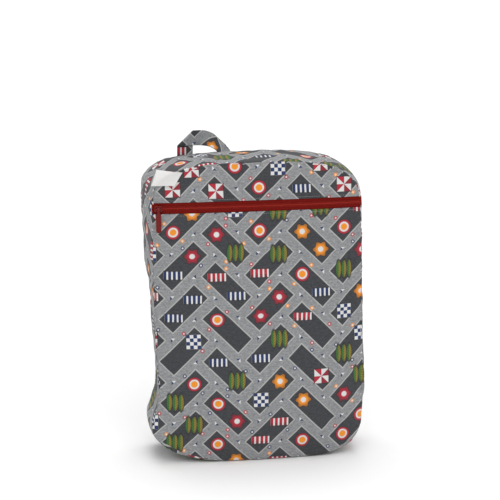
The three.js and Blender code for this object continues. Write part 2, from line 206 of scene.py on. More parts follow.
# The slider, in a frame with x along the zipper, y into the bag and z up, whose origin lies on the cloth's face
HINGE_RISE = 5.731 * MM
PLATE_FRONT = -2.5 * MM
PLATE_BACK = 2.9 * MM
PLATE_WALL = 1.2 * MM
PLATE_DOME = 0.25 * MM
SLIDER_LENGTH = 11 * MM
SLIDER_HEIGHT = 9 * MM
SLIDER_SQUARENESS = 4.2
SLIDER_TAPER = 0.16
SLIDER_WAIST = 0.07
WAIST_WIDTH = 0.22 * SLIDER_LENGTH
BRIDGE_HALF = 3.5 * MM
BRIDGE_BEND = 1.3 * MM
BRIDGE_WIRE = 0.8 * MM
BRIDGE_SUNK = 0.5 * MM
POST_INSET = 1.5 * MM
POST_HALF_LENGTH = 1.3 * MM
POST_HALF_HEIGHT = 1.9 * MM
RAIL_HALF_LENGTH = 0.43 * SLIDER_LENGTH
RAIL_ROUND_END = 0.44 * SLIDER_LENGTH
RAIL_DEPTH = 0.8 * PLATE_WALL
RAIL_INSET = 0.45 * MM
RAIL_HALF_DEPTH = 0.75 * MM
RAIL_HALF_HEIGHT = 0.42 * MM

# A plate's rings from the middle of its near face round to the middle of its far one: share of the outline and of the
# wall, with the near face's dome or without it
NEAR_RINGS = ((0.05, 0.0), (0.35, 0.0), (0.62, 0.0), (0.82, 0.02), (0.92, 0.08), (0.975, 0.2), (1.0, 0.42))
FAR_RINGS = ((1.0, 0.6), (0.975, 0.82), (0.92, 0.95), (0.6, 1.0), (0.05, 1.0))

# The pull, measured down from the hinge
EYE_RADIUS = 2.18 * MM
EYE_HALF_WIDTH = 1.7 * MM
EYE_HALF_WALL = 0.62 * MM
EYE_STEPS = 48
PULL_TOP = 2.1 * MM
PULL_STRAIGHT_FOOT = 26.5 * MM
PULL_THIN_BELOW = 1.6 * MM
PULL_NECK_FOOT = 2.5 * MM
PULL_WIDENING = 7.5 * MM
PULL_FOOT = 31 * MM
PULL_HALF = 3.4 * MM
PULL_HALF_WALL = 0.9 * MM
PULL_HOLLOW = 0.22

# Middle of the strap past its fold: along and rise in millimetres, turn clockwise from upright in degrees, share of
# the width that shows from the front, and depth behind the seam in millimetres
STRAP_ROWS = np.array(
    [
        (13.0, 18.0, 90, 1.0, -2.6),
        (17.0, 18.0, 90, 1.0, -2.6),
        (24.5, 17.5, 95, 0.97, -2.6),
        (33.5, 14.8, 109, 0.85, -2.0),
        (42.8, 8.2, 128, 0.66, -0.8),
        (48.8, 1.9, 152, 0.7, 0.2),
        (51.5, -3.4, 172, 0.84, 0.6),
        (52.0, -9.4, 180, 0.9, 0.6),
    ]
)
STRAP_LEFT = -84 * MM
STRAP_INSET = 5 * MM
STRAP_FOLD = 18 * MM
STRAP_BEND = 1.3 * MM
STRAP_HINGE = 3 * MM
STRAP_EASE = 3 * MM
STRAP_LEAN = math.radians(8)
STRAP_HALF_WIDTH = 10.5 * MM
STRAP_HALF_WALL = 0.95 * MM
STRAP_SUNK = 8 * MM
STRAP_STEPS = 230
STRAP_PRINT_SHIFT = (37 * MM, 52 * MM)

# The tag. Its length, its top and its drop are shares of the front's height above the zipper.
LABEL_WIDTH = 33 * MM
LABEL_INSET = 11.5 * MM
LABEL_LENGTH = 0.37
LABEL_TOP = 0.835
LABEL_DROP = 0.385
LABEL_TAPER = 0.09
LABEL_LEAN = 8 * MM
LABEL_TILT = 3 * MM
LABEL_LIFT = 1.3 * MM
LABEL_SPRING = 0.9 * MM
LABEL_CURL = 1.5 * MM
LABEL_WAVE = 0.4 * MM
LABEL_HALF_WALL = 0.32 * MM
LABEL_BEVEL = 0.15 * MM

TAPE_RIB = 0.9 * MM
TAPE_THREAD = 0.42 * MM
SATIN_RIB = 0.35 * MM
SATIN_WHITE = (0.8, 0.79, 0.78)

# Wide suns light the whole floor evenly: name, place, width in degrees and strength in watts for each square metre
LIGHTS = (
    ("key", (-0.1, -1.9, 2.2), 50, 1.2),
    ("fill", (1.9, -1.5, 1.1), 70, 0.08),
    ("top", (0.0, 0.42, 2.4), 38, 1.3),
)
LIGHTS_AIM = Vector((0, 0, 0.2))
SKY_LIGHT = 0.5
FLOOR_SINK = 0.2 * MM
FLOOR_FINISH = {"Base Color": (0.93, 0.93, 0.93, 1), "Roughness": 0.9, "Specular IOR Level": 0.1}
CAMERA_SENSOR = 36
CAMERA_REACH = 100

# Measures of the print and its motifs, in short sides of a block
LANE_SHARE = 0.172
BLOCK_LINE = 0.014
INK_LINE = 0.022
MOTIF_MIDDLES = (0.56, 1.44)
DIAMOND = 0.1
BEAD_PLACE = 0.42
BEAD = 0.065
BEAD_HEART = 0.03
LEAF_STEP = 0.19
LEAF_HALF_WIDTH = 0.085
LEAF_HALF_HEIGHT = 0.27
FLOWER = 0.23
FLOWER_PETAL = 0.035
FLOWER_TIP = 0.17
FLOWER_HEART = 0.09
SQUARE = 0.24
CHECK = 0.12
BAR_HALF_WIDTH = 0.3
BAR_HALF_HEIGHT = 0.13
BAR_SHADE = -0.04
STRIPE_STEP = 0.15
STRIPE_SHARE = 0.62
RING = 0.23
RING_WHITE = 0.165
RING_DOT = 0.11

# Chances above which a block has a bead, and a red or an orange one
BEAD_CHANCE, RED_CHANCE, ORANGE_CHANCE = 0.45, 0.62, 0.82

# How fine each uneven pattern is, in swings to the metre
STREAKS = 520.0
SPECKS = 380.0
CREASES = 140.0
SLUBS = 650.0
DYE_GRAIN = 1100.0
DYE_CLOUDS = 26.0
WORN_PATCHES = 420.0
PAINT_RIPPLES = 700.0
SATIN_CREASES = 90.0

SMALLEST = 1e-12
SLOPE_STEP = 0.05 * MM
BEVEL_SHARPEST = math.radians(40)


# Sizes and colours that a user would change


def length(name, value, words):
    return FloatProperty(name=name, description=words, default=value, min=0.0, unit="LENGTH", precision=5)


def angle(name, degrees, words):
    return FloatProperty(name=name, description=words, default=math.radians(degrees), unit="ROTATION")


def colour(name, value, words):
    return FloatVectorProperty(name=name, description=words, default=value, size=3, min=0, max=1, subtype="COLOR")


def share(name, value, words):
    return FloatProperty(name=name, description=words, default=value, subtype="FACTOR")


class BodySizes(bpy.types.PropertyGroup):
    panel_width: length("Panel width", 285 * MM, "Across a panel, from side seam to side seam")
    panel_height: length("Panel height", panel_high.z, "From the ground to the top seam")
    gusset_depth: length("Gusset depth", 80 * MM, "Of the band that joins the two panels")
    seam_bow: length("Seam bow", 10 * MM, "How far the long seams stand out halfway across")
    crown: length("Crown", 10 * MM, "How far a panel swells past its seams")
    crown_power: FloatProperty(name="Crown power", description="How flat the middle of a panel is", default=5.0)
    wall: length("Cloth wall", 1.3 * MM, "Thickness of the cloth with its backing")
    seam_sink: length("Seam sink", 0.8 * MM, "How far a seam is drawn into the bag")
    seam_turn: length("Seam turn", 3.0 * MM, "Cloth that turns in at a seam")
    columns: IntProperty(name="Columns", description="Quads across a panel", default=84, min=8)
    lower_rows: IntProperty(name="Lower rows", description="Quads from the foot to the zipper", default=96, min=8)
    slot_rows: IntProperty(name="Slot rows", description="Quads across the zipper's slot", default=4, min=2)
    upper_rows: IntProperty(name="Upper rows", description="Quads above the zipper", default=18, min=4)
    depth_steps: IntProperty(name="Depth steps", description="Quads across the gusset", default=18, min=4)


class ClothSizes(bpy.types.PropertyGroup):
    frames: IntProperty(name="Frames", description="Steps of the cloth simulation", default=22, min=1)
    looseness: share("Looseness", 0.02, "How much longer the cloth is than the form that it fills")
    pressure: FloatProperty(name="Pressure", description="Of the soft load on the cloth", default=0.5)
    hold: share("Hold", 0.16, "How strongly the load holds the cloth to its form")
    swelling: share("Swelling", 0.3, "How much of the cloth's outward movement is kept")
    furthest: length("Furthest", 3.5 * MM, "How far the simulation may move the cloth")
    seam_wave: length("Seam wave", 0.6 * MM, "How far the seams waver")


class ClothColours(bpy.types.PropertyGroup):
    lane: colour("Lane", (0.25, 0.255, 0.262), "Ground of the print")
    block: colour("Block", (0.045, 0.047, 0.052), "Long blocks of the print")
    outline: colour("Outline", (0.48, 0.48, 0.47), "Thin line round a block")
    ink: colour("Ink", (0.025, 0.025, 0.03), "Dark line round a motif")
    red: colour("Red", (0.4, 0.022, 0.04), "Red of the motifs")
    orange: colour("Orange", (0.8, 0.27, 0.02), "Orange of the motifs")
    green: colour("Green", (0.05, 0.17, 0.03), "Green of the motifs")
    navy: colour("Navy", (0.02, 0.035, 0.11), "Dark blue of the motifs")
    white: colour("White", (0.66, 0.66, 0.65), "White of the motifs")
    unit: length("Print unit", 40 * MM, "Width of one block and its lane")
    thread: length("Thread", 0.55 * MM, "Pitch of the cloth's threads")


class ZipperSizes(bpy.types.PropertyGroup):
    tape: colour("Tape", (0.16, 0.005, 0.003), "Woven tape")
    coil: colour("Coil", (0.34, 0.016, 0.009), "Nylon coil")
    enamel: colour("Enamel", (0.15, 0.004, 0.0025), "Paint of the slider and the pull")
    tooth_pitch: length("Tooth pitch", 1.45 * MM, "Between the teeth of one side")
    tooth_wire: length("Tooth wire", 0.8 * MM, "Thickness of one tooth")
    overrun: length("Overrun", 0.4 * MM, "How far the zipper passes each side seam")
    tape_wall: length("Tape wall", 0.6 * MM, "Thickness of the tape")
    stitch: length("Stitch", 2.5 * MM, "Length of one stitch")
    stitch_gap: length("Stitch gap", 0.7 * MM, "Between two stitches")
    stitch_wire: length("Stitch wire", 0.42 * MM, "Thickness of the sewing thread")


class StudioSizes(bpy.types.PropertyGroup):
    azimuth: angle("Azimuth", -9.8, "Camera round the bag")
    elevation: angle("Elevation", 14.5, "Camera over the ground")
    distance: length("Distance", 2.8, "From the camera to the middle of the bag")
    middle: length("Middle", 203 * MM, "Height of the middle of the bag")
    raise_aim: length("Raised aim", 73 * MM, "How far over the middle the camera looks")
    side_aim: FloatProperty(name="Side aim", description="How far right it looks", default=-2.7 * MM, unit="LENGTH")
    lens: FloatProperty(name="Lens", description="Focal length in millimetres", default=150.9)
    floor_side: length("Floor side", 40.0, "Side of the square floor")


# The bag's form


def table_column(name, heights):
    """A column of the section table at some shares of the height: an eased blend between the rows below and above."""
    rows = SECTIONS["height"]
    above = np.clip(np.searchsorted(rows, heights), 1, len(rows) - 1)
    step = np.clip((heights - rows[above - 1]) / (rows[above] - rows[above - 1]), 0, 1)
    eased = step * step * (3 - 2 * step)
    return SECTIONS[name][above - 1] * (1 - eased) + SECTIONS[name][above] * eased


def resample(points, count):
    """Points spaced evenly along a polyline, count + 1 of them with both ends."""
    steps = np.linalg.norm(np.diff(points, axis=0), axis=1)
    along = np.concatenate([[0], np.cumsum(steps)])
    wanted = np.linspace(0, along[-1], count + 1)
    return np.stack([np.interp(wanted, along, points[:, k]) for k in range(points.shape[1])], axis=1)


def unit(vectors):
    return vectors / np.maximum(np.linalg.norm(vectors, axis=-1, keepdims=True), SMALLEST)


def lerp(a, b, t):
    return a + (b - a) * t


def circle(count):
    """Angles evenly round a circle."""
    return np.linspace(0, 2 * math.pi, count, endpoint=False)


def squared_circle(turns, power):
    """How far a superellipse of radius one lies from its middle: the sum of the cosine's and the sine's powers, to the
    power of minus one over that power."""
    return (np.abs(np.cos(turns)) ** power + np.abs(np.sin(turns)) ** power) ** (-1 / power)


class BagForm:
    """The bag's outlines and surfaces, worked out from its sizes and the tables of shares."""

    def __init__(self, sizes):
        self.half = sizes.panel_width / 2
        self.height = sizes.panel_height
        self.depth = sizes.gusset_depth
        self.bow = sizes.seam_bow
        self.crown = sizes.crown
        self.power = sizes.crown_power
        self.slot_foot = lower_panel_high.z
        self.slot_top = upper_panel_low.z
        self.teeth_z = (teeth_low.z + teeth_high.z) / 2

    def shaped(self, side, x, z):
        """A plain outline point, narrowed to its height's share and leant."""
        heights = z / self.height
        moved = x * table_column(side, heights) + table_column("lean", heights) * self.half
        return np.stack([moved, z], axis=-1)

    def corner_sizes(self, side, right, top):
        across, up, power = CORNERS[side, right, top]
        return across * self.half, up * self.height, power

    def corner(self, side, right, top, turns):
        """A superellipse corner: turn 0 is on the side and 1 on the foot or the top."""
        wide, tall, power = self.corner_sizes(side, right, top)
        angles = turns * math.pi / 2
        far = squared_circle(angles, power)
        x = right * (self.half - wide + wide * far * np.cos(angles))
        rise = tall - tall * far * np.sin(angles)
        return self.shaped(side, x, self.height - rise if top > 0 else rise)

    def end_curve(self, side, top, count):
        """The foot or the top of an outline, from the middle of its left corner to the middle of its right one."""
        turns = np.linspace(0.5, 1, CORNER_STEPS)
        left = self.corner(side, -1, top, turns)
        right = self.corner(side, 1, top, turns)[::-1]
        return resample(np.concatenate([left, right]), count)

    def side_curve(self, side, right, counts):
        """A side of a panel's outline from the foot's corner to the top's, in three runs that meet at the slot."""
        turns = np.linspace(0.5, 0, CORNER_STEPS)
        foot = self.corner(side, right, -1, turns)
        top = self.corner(side, right, 1, turns[::-1])
        heights = np.linspace(foot[-1, 1], top[0, 1], SIDE_STEPS)
        straight = self.shaped(side, np.full_like(heights, right * self.half), heights)
        whole = np.concatenate([foot, straight[1:-1], top])
        levels = [whole[0, 1], self.slot_foot, self.slot_top, whole[-1, 1]]
        runs = []
        for low, high, count in zip(levels, levels[1:], counts):
            ends = [[np.interp(level, whole[:, 1], whole[:, 0]), level] for level in (low, high)]
            inside = whole[(whole[:, 1] > low) & (whole[:, 1] < high)]
            runs.append(resample(np.concatenate([ends[:1], inside, ends[1:]]), count))
        return runs

    def edge(self, side, right, z):
        """Where a panel's side edge is at some heights."""
        top = 1 if np.mean(z) > self.height / 2 else -1
        wide, tall, power = self.corner_sizes(side, right, top)
        nearest = self.height - z if top > 0 else z
        into = np.clip(1 - nearest / tall, 0, 1)
        flat = self.half - wide + wide * (1 - into**power) ** (1 / power)
        return self.shaped(side, right * flat, z)[..., 0]

    def reach(self, side, x, z):
        """How far a panel stands from the middle plane: half the gusset, the bow of its seams and its crown, less the
        long folds, each a Gaussian ridge turned on the panel."""
        heights = z / self.height
        across = np.minimum(np.abs(x) / self.half, 1)
        up = np.minimum(np.abs(2 * heights - 1), 1)
        bow = self.bow * (1 - across**2)
        crown = self.crown * (1 - across**self.power) * (1 - up**self.power)
        out = self.depth / 2 * table_column("depth", heights) + table_column("swell", heights) * (bow + crown)
        for middle, middle_up, long, broad, degrees, depth in FOLDS[side]:
            turn = math.radians(degrees)
            right = x / self.half - middle
            over = (z - middle_up * self.height) / self.half
            along = (right * math.cos(turn) + over * math.sin(turn)) / long
            beside = (over * math.cos(turn) - right * math.sin(turn)) / broad
            out = out - depth * self.crown * np.exp(-(along**2) - beside**2)
        return out


def sideways(tangents):
    """Tangents of an anticlockwise outline turned to point out of it, in the panels' plane."""
    return np.stack([tangents[:, 2], 0 * tangents[:, 0], -tangents[:, 0]], axis=1)


def coons(foot, top, left, right):
    """A grid of plane points between four edge curves: both ruled blends less the bilinear one of the corners."""
    u = np.linspace(0, 1, len(foot))[None, :, None]
    v = np.linspace(0, 1, len(left))[:, None, None]
    ends = (1 - v) * foot[None] + v * top[None]
    sides = (1 - u) * left[:, None] + u * right[:, None]
    low = (1 - u) * foot[0] + u * foot[-1]
    high = (1 - u) * top[0] + u * top[-1]
    return ends + sides - (1 - v) * low - v * high


def wavy(rng, along, period):
    """A smooth closed wave along a loop: a sum of sines with whole numbers of turns and seeded phases."""
    turns = along / period * 2 * math.pi
    total = np.zeros_like(along)
    for count in SEAM_WAVES:
        total += np.sin(count * turns + rng.uniform(0, 2 * math.pi)) * rng.uniform(0.4, 1.0)
    return total / (len(SEAM_WAVES) * 0.6)


class ClothShell:
    """The whole closed skin of the bag as one welded mesh: two panels and the gusset between them."""

    def __init__(self, form, sizes, cloth):
        self.form = form
        counts = (sizes.lower_rows, sizes.slot_rows, sizes.upper_rows)
        self.slot_row = sizes.lower_rows
        self.slot_top_row = sizes.lower_rows + sizes.slot_rows
        self.flat = {"front": self.front_plane(counts, sizes.columns), "back": self.back_plane(counts, sizes.columns)}
        rows, columns = sum(counts) + 1, sizes.columns + 1
        self.index = {"front": np.arange(rows * columns).reshape(rows, columns)}
        self.index["back"] = self.index["front"] + rows * columns
        self.rings = {side: self.ring(self.index[side]) for side in SIDES}
        self.points = np.concatenate([self.stand(side).reshape(-1, 3) for side in SIDES])
        self.waver(cloth)
        self.add_gusset(sizes.depth_steps)

    def borders(self, side, counts, columns):
        """A panel's foot and top curves and the runs of its left and right sides."""
        ends = [self.form.end_curve(side, top, columns) for top in (-1, 1)]
        return *ends, *(self.form.side_curve(side, right, counts) for right in (-1, 1))

    def front_plane(self, counts, columns):
        """The front's grid in three runs, so that two of its rows are the edges of the slot."""
        foot, top, left, right = self.borders("front", counts, columns)
        shares = np.linspace(0, 1, columns + 1)[:, None]
        slot_foot = lerp(left[1][:1], right[1][:1], shares)
        slot_top = lerp(left[2][:1], right[2][:1], shares)
        lower = coons(foot, slot_foot, left[0], right[0])
        slot = coons(slot_foot, slot_top, left[1], right[1])
        upper = coons(slot_top, top, left[2], right[2])
        return np.concatenate([lower, slot[1:], upper[1:]])

    def back_plane(self, counts, columns):
        foot, top, *sides = self.borders("back", counts, columns)
        return coons(foot, top, *(np.concatenate([runs[0], runs[1][1:], runs[2][1:]]) for runs in sides))

    def stand(self, side):
        """A flat grid stood up and pushed out to the panel's face."""
        x, z = self.flat[side][..., 0], self.flat[side][..., 1]
        out = -1 if side == "front" else 1
        return np.stack([x, out * self.form.reach(side, x, z), z], axis=-1)

    @staticmethod
    def ring(index):
        """The rim of a grid anticlockwise seen from the front, starting in the middle of the foot."""
        rim = np.concatenate([index[0, :-1], index[:-1, -1], index[-1, :0:-1], index[:0:-1, 0]])
        return np.roll(rim, -(index.shape[1] // 2))

    def waver(self, cloth):
        """Moves the seams in and out a little in the panel's plane, but not on the foot."""
        for seed, side in enumerate(SIDES):
            rng = np.random.default_rng(SEAM_SEED + seed)
            rim = self.points[self.rings[side]]
            along = np.concatenate([[0], np.cumsum(np.linalg.norm(np.diff(rim, axis=0), axis=1))])
            period = along[-1] + np.linalg.norm(rim[0] - rim[-1])
            outwards = sideways(unit(np.roll(rim, -1, axis=0) - np.roll(rim, 1, axis=0)))
            wave = wavy(rng, along, period)
            clear = np.clip((rim[:, 2] - STILL_FOOT) / STILL_FADE, 0, 1)
            self.points[self.rings[side]] = rim + outwards * (wave * clear * cloth.seam_wave)[:, None]

    def add_gusset(self, steps):
        """The gusset: points between the two rims, puffed out by a parabola across its depth."""
        front, back = (self.points[self.rings[side]] for side in SIDES)
        along = np.roll(front, -1, axis=0) + np.roll(back, -1, axis=0)
        along = along - np.roll(front, 1, axis=0) - np.roll(back, 1, axis=0)
        outwards = unit(sideways(along))
        shares = np.linspace(0, 1, steps + 1)[None, 1:-1, None]
        between = lerp(front[:, None], back[:, None], shares)
        puff = table_column("puff", between[..., 2] / self.form.height) * self.form.depth
        between = between + outwards[:, None] * (puff[..., None] * 4 * shares * (1 - shares))
        start = len(self.points)
        inner = start + np.arange(len(front) * (steps - 1)).reshape(len(front), steps - 1)
        self.points = np.concatenate([self.points, between.reshape(-1, 3)])
        columns = [self.rings["front"][:, None], inner, self.rings["back"][:, None]]
        self.index["gusset"] = np.concatenate(columns, axis=1)

    def faces(self):
        front, back = grid_faces(self.index["front"]), grid_faces(self.index["back"])[:, ::-1]
        gusset = self.index["gusset"]
        closed = np.concatenate([gusset, gusset[:1]])
        return np.concatenate([front, back, grid_faces(closed)])


def grid_faces(index):
    """Quads of a grid of vertex numbers, each turning from its first axis back along the second."""
    return np.stack([index[:-1, :-1], index[:-1, 1:], index[1:, 1:], index[1:, :-1]], axis=-1).reshape(-1, 4)


def settle(shell, cloth):
    """Lets the skin find its own small creases: cloth a little too long for its form, sewn fast at its seams, swells
    under a light pressure while it is drawn back to the form."""
    if cloth.frames < 2:
        return shell.points
    mesh = bpy.data.meshes.new("settling")
    mesh.from_pydata(shell.points.tolist(), [], shell.faces().tolist())
    skin = bpy.data.objects.new("settling", mesh)
    bpy.context.scene.collection.objects.link(skin)
    pinned = held_share(shell, cloth.hold)
    group = skin.vertex_groups.new(name="held")
    # One call for all vertices that are held alike, to a thousandth
    for level in np.unique(np.round(pinned, 3)):
        group.add(np.flatnonzero(np.abs(pinned - level) < 5e-4).tolist(), float(level), "REPLACE")
    modifier = skin.modifiers.new("cloth", "CLOTH")
    settings = modifier.settings
    for name, value in CLOTH_SETTINGS.items():
        setattr(settings, name, value)
    settings.vertex_group_mass = "held"
    settings.shrink_min = -cloth.looseness
    settings.use_pressure = True
    settings.uniform_pressure_force = cloth.pressure
    settings.effector_weights.gravity = 0
    modifier.collision_settings.use_collision = False
    modifier.point_cache.frame_start = 1
    modifier.point_cache.frame_end = cloth.frames
    for number in range(1, cloth.frames + 1):
        bpy.context.scene.frame_set(number)
    settled = skin.evaluated_get(bpy.context.evaluated_depsgraph_get()).to_mesh()
    found = np.zeros(len(shell.points) * 3, np.float32)
    settled.vertices.foreach_get("co", found)
    bpy.context.scene.frame_set(1)
    bpy.data.objects.remove(skin)
    moved = found.reshape(-1, 3).astype(float) - shell.points
    normals = vertex_normals(shell.points, shell.faces())
    outwards = np.maximum((moved * normals).sum(axis=1, keepdims=True), 0)
    moved -= normals * outwards * (1 - cloth.swelling)
    far = np.linalg.norm(moved, axis=1, keepdims=True)
    return shell.points + moved * np.minimum(1, cloth.furthest / np.maximum(far, SMALLEST))


def held_share(shell, hold):
    """How firmly each vertex is held: wholly at the seams, the zipper and the foot, and a little elsewhere."""
    held = np.full(len(shell.points), hold)
    for ring in shell.rings.values():
        held[ring] = 1
    held[shell.index["front"][shell.slot_row - 1 : shell.slot_top_row + 2]] = 1
    held[shell.points[:, 2] < HELD_FOOT] = 1
    for place, width in HELD_PLACES:
        near = np.linalg.norm((shell.points - np.array(place)) / np.array(width), axis=1)
        held = np.maximum(held, np.exp(-(near**4)))
    return held


# Meshes


def piece(name, points, faces, slot_name, material, body=BAG, replaces=(), uv=None):
    """A mesh object of the bag that rides on a body, with its cloth coordinates for each corner of each face."""
    mesh = bpy.data.meshes.new(name)
    mesh.from_pydata(np.asarray(points, float).reshape(-1, 3).tolist(), [], np.asarray(faces).tolist())
    if uv is not None:
        layer = mesh.uv_layers.new(name="cloth")
        layer.data.foreach_set("uv", np.asarray(uv, np.float32).ravel())
    mesh.polygons.foreach_set("use_smooth", np.full(len(mesh.polygons), True))
    mesh.materials.append(material)
    mesh.update()
    made = bpy.data.objects.new(name, mesh)
    bpy.context.scene.collection.objects.link(made)
    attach(made, body)
    if replaces:
        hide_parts(*replaces)
    return made


def cloth_piece(name, points, faces, uv, node, wall):
    """A sheet of printed cloth with its wall on the inside of its face, rounded."""
    made = piece(name, points, faces, "printed_cloth", printed_cloth(), replaces=[node], uv=uv)
    solid = made.modifiers.new("wall", "SOLIDIFY")
    solid.thickness = wall
    solid.offset = -1
    solid.use_even_offset = False
    smooth = made.modifiers.new("smooth", "SUBSURF")
    smooth.levels = smooth.render_levels = 1
    smooth.uv_smooth = "PRESERVE_BOUNDARIES"


def vertex_normals(points, faces):
    """Unit normals of vertices: the summed cross products of the diagonals of the quads round each."""
    normal = np.cross(points[faces[:, 2]] - points[faces[:, 0]], points[faces[:, 3]] - points[faces[:, 1]])
    total = np.zeros_like(points)
    for corner in range(4):
        np.add.at(total, faces[:, corner], normal)
    return unit(total)


def sewn_panel(shell, points, normals, side, first, last, sizes):
    """One sheet of a panel between two grid rows: its rim sinks into the seams and turns in, and along the slot it is
    folded over behind itself. Returns its points, faces and each face corner's cloth coordinates."""
    index = shell.index[side][first : last + 1]
    local = np.arange(index.size).reshape(index.shape)
    rim = ClothShell.ring(local)
    sheet = points[index].reshape(-1, 3).copy()
    uv = shell.flat[side][first : last + 1].reshape(-1, 2)
    inwards = -normals[index].reshape(-1, 3)[rim]
    away = sideways(unit(np.roll(sheet[rim], -1, axis=0) - np.roll(sheet[rim], 1, axis=0)))
    face_out = np.array([0.0, -1.0 if side == "front" else 1.0, 0.0])
    on_slot = np.zeros(index.shape, bool)
    if side == "front":
        on_slot[-1 if first == 0 else 0, 1:-1] = True
    folded = on_slot.reshape(-1)[rim][:, None]
    sheet[rim] += np.where(folded, 0.0, inwards * sizes.seam_sink - away * SEAM_GAP)
    rows, sheets, uvs = [rim], [sheet], [uv]
    for step, (over, behind) in enumerate(SLOT_FOLD, 1):
        turned = sizes.seam_turn * step / TURN_ROWS
        seam = inwards * turned - away * SEAM_GAP * step
        fold = (away * over - face_out * behind) * sizes.wall
        used = np.where(folded, step * sizes.wall, turned)
        rows.append(index.size + (step - 1) * len(rim) + np.arange(len(rim)))
        sheets.append(sheet[rim] + np.where(folded, fold, seam))
        uvs.append(uv[rim] + away[:, [0, 2]] * used)
    rim_rows = np.stack(rows)
    strips = grid_faces(np.concatenate([rim_rows, rim_rows[:, :1]], axis=1))[:, ::-1]
    faces = np.concatenate([grid_faces(local), strips])
    if side == "back":
        faces = faces[:, ::-1]
    return np.concatenate(sheets), faces, np.concatenate(uvs)[faces]


def sewn_gusset(shell, points, normals, sizes):
    """The band between the panels: a closed strip with both rims sunk and turned in. Its cloth coordinates are the
    length along the band and the depth across it."""
    index = shell.index["gusset"]
    count, steps = index.shape
    grid = points[index]
    inwards = -normals[index]
    depthwise = unit(grid[:, -1] - grid[:, 0])
    middle = grid[:, steps // 2]
    along = np.concatenate([[0], np.cumsum(np.linalg.norm(np.roll(middle, -1, axis=0) - middle, axis=1))])
    width = np.linspace(0, 1, steps) * shell.form.depth
    lengths = sizes.seam_turn * np.arange(1, TURN_ROWS + 1) / TURN_ROWS
    turned = {}
    for end, sign in ((0, -1.0), (-1, 1.0)):
        gap = depthwise * sign * SEAM_GAP
        inward = inwards[:, end]
        grid[:, end] += inward * sizes.seam_sink - gap
        turned[end] = [grid[:, end] + inward * length - gap * step for step, length in enumerate(lengths, 1)]
    band = np.concatenate([np.stack(turned[0][::-1], axis=1), grid, np.stack(turned[-1], axis=1)], axis=1)
    across = np.concatenate([-lengths[::-1], width, width[-1] + lengths])
    numbers = np.arange(count * len(across)).reshape(count, len(across))
    faces = grid_faces(np.concatenate([numbers, numbers[:1]]))
    # The last face of the loop ends at the band's full length, where its vertices are the first ones again
    uv = np.stack(np.broadcast_arrays(along[:, None], across[None]), axis=-1)
    corners = grid_faces(np.arange(uv[..., 0].size).reshape(uv.shape[:2]))
    return band.reshape(-1, 3), faces, uv.reshape(-1, 2)[corners]


def build_cloth_body():
    sizes, cloth = bpy.context.scene.wetbag_body, bpy.context.scene.wetbag_cloth
    shell = ClothShell(BagForm(sizes), sizes, cloth)
    points = settle(shell, cloth)
    normals = vertex_normals(points, shell.faces())
    last = shell.index["front"].shape[0] - 1
    parts = (
        ("cloth_front_lower", "front", 0, shell.slot_row, "front_panel_lower"),
        ("cloth_front_upper", "front", shell.slot_top_row, last, "front_panel_upper"),
        ("cloth_back", "back", 0, last, "back_panel"),
    )
    for name, side, first, final, node in parts:
        cloth_piece(name, *sewn_panel(shell, points, normals, side, first, final, sizes), node, sizes.wall)
    cloth_piece("cloth_gusset", *sewn_gusset(shell, points, normals, sizes), "gusset", sizes.wall)


# Ribbons, lofts and small repeated parts


def outward(points, faces):
    """The faces, turned round if their signed volume is negative."""
    a, b, c, d = (points[faces[:, k]] for k in range(4))
    volume = np.einsum("ij,ij->i", a, np.cross(b, c) + np.cross(c, d)).sum()
    return faces if volume > 0 else faces[:, ::-1]


def closed_loft(rings):
    """A closed solid through rings of points, all with the same even count, each end capped with a strip of quads."""
    count, around = rings.shape[:2]
    index = np.arange(count * around).reshape(count, around)
    sides = grid_faces(np.concatenate([index, index[:, :1]], axis=1))
    k = np.arange(around // 2 - 1)
    strip = np.stack([k, k + 1, around - 2 - k, around - 1 - k], axis=1)
    faces = np.concatenate([sides, index[0][strip], index[-1][strip][:, ::-1]])
    points = rings.reshape(-1, 3)
    return points, outward(points, faces)


def merged(solids):
    """Several (points, faces) as one."""
    starts = np.cumsum([0] + [len(points) for points, _ in solids[:-1]])
    faces = [faces + start for start, (_, faces) in zip(starts, solids)]
    return np.concatenate([points for points, _ in solids]), np.concatenate(faces)


def repeated(points, faces, places, frames):
    """Copies of a small solid, one for each place, each turned to a frame of three axes given as rows."""
    moved = np.einsum("vk,nkj->nvj", points, frames) + places[:, None]
    starts = np.arange(len(places))[:, None, None] * len(points)
    return moved.reshape(-1, 3), (faces[None] + starts).reshape(-1, 4)


def rounded_section(half_width, half_wall, across, rounding=3):
    """A ribbon's section as pairs of width and thickness: flat on both faces and half round at both edges."""
    flat = np.linspace(-1, 1, across) * (half_width - half_wall)
    turns = np.linspace(0, math.pi, rounding + 2)[1:-1]
    edge = half_width - half_wall + half_wall * np.sin(turns)
    rise = half_wall * np.cos(turns)
    front = np.stack([flat, np.full(across, half_wall)], axis=1)
    right = np.stack([edge, rise], axis=1)
    return np.concatenate([front, right, -front, -right])


def thick_ribbon(surface, alongs, section):
    """A ribbon with a wall: surface(along, across) gives the middle of the cloth, and its normals come from the cross
    product of its two slopes. Returns the rings of points and each point's cloth coordinates."""
    along, across = np.broadcast_arrays(alongs[:, None], section[None, :, 0])
    slope_along = surface(along + SLOPE_STEP, across) - surface(along - SLOPE_STEP, across)
    slope_across = surface(along, across + SLOPE_STEP) - surface(along, across - SLOPE_STEP)
    normals = unit(np.cross(slope_across, slope_along))
    rings = surface(along, across) + normals * section[None, :, 1:2]
    return rings, np.stack([across, along], axis=-1)


def ribbon_piece(name, rings, cloth, slot_name, material, **words):
    """A ribbon's closed solid as a piece with cloth coordinates."""
    points, faces = closed_loft(rings)
    return piece(name, points, faces, slot_name, material, uv=cloth.reshape(-1, 2)[faces], **words)


# Zipper


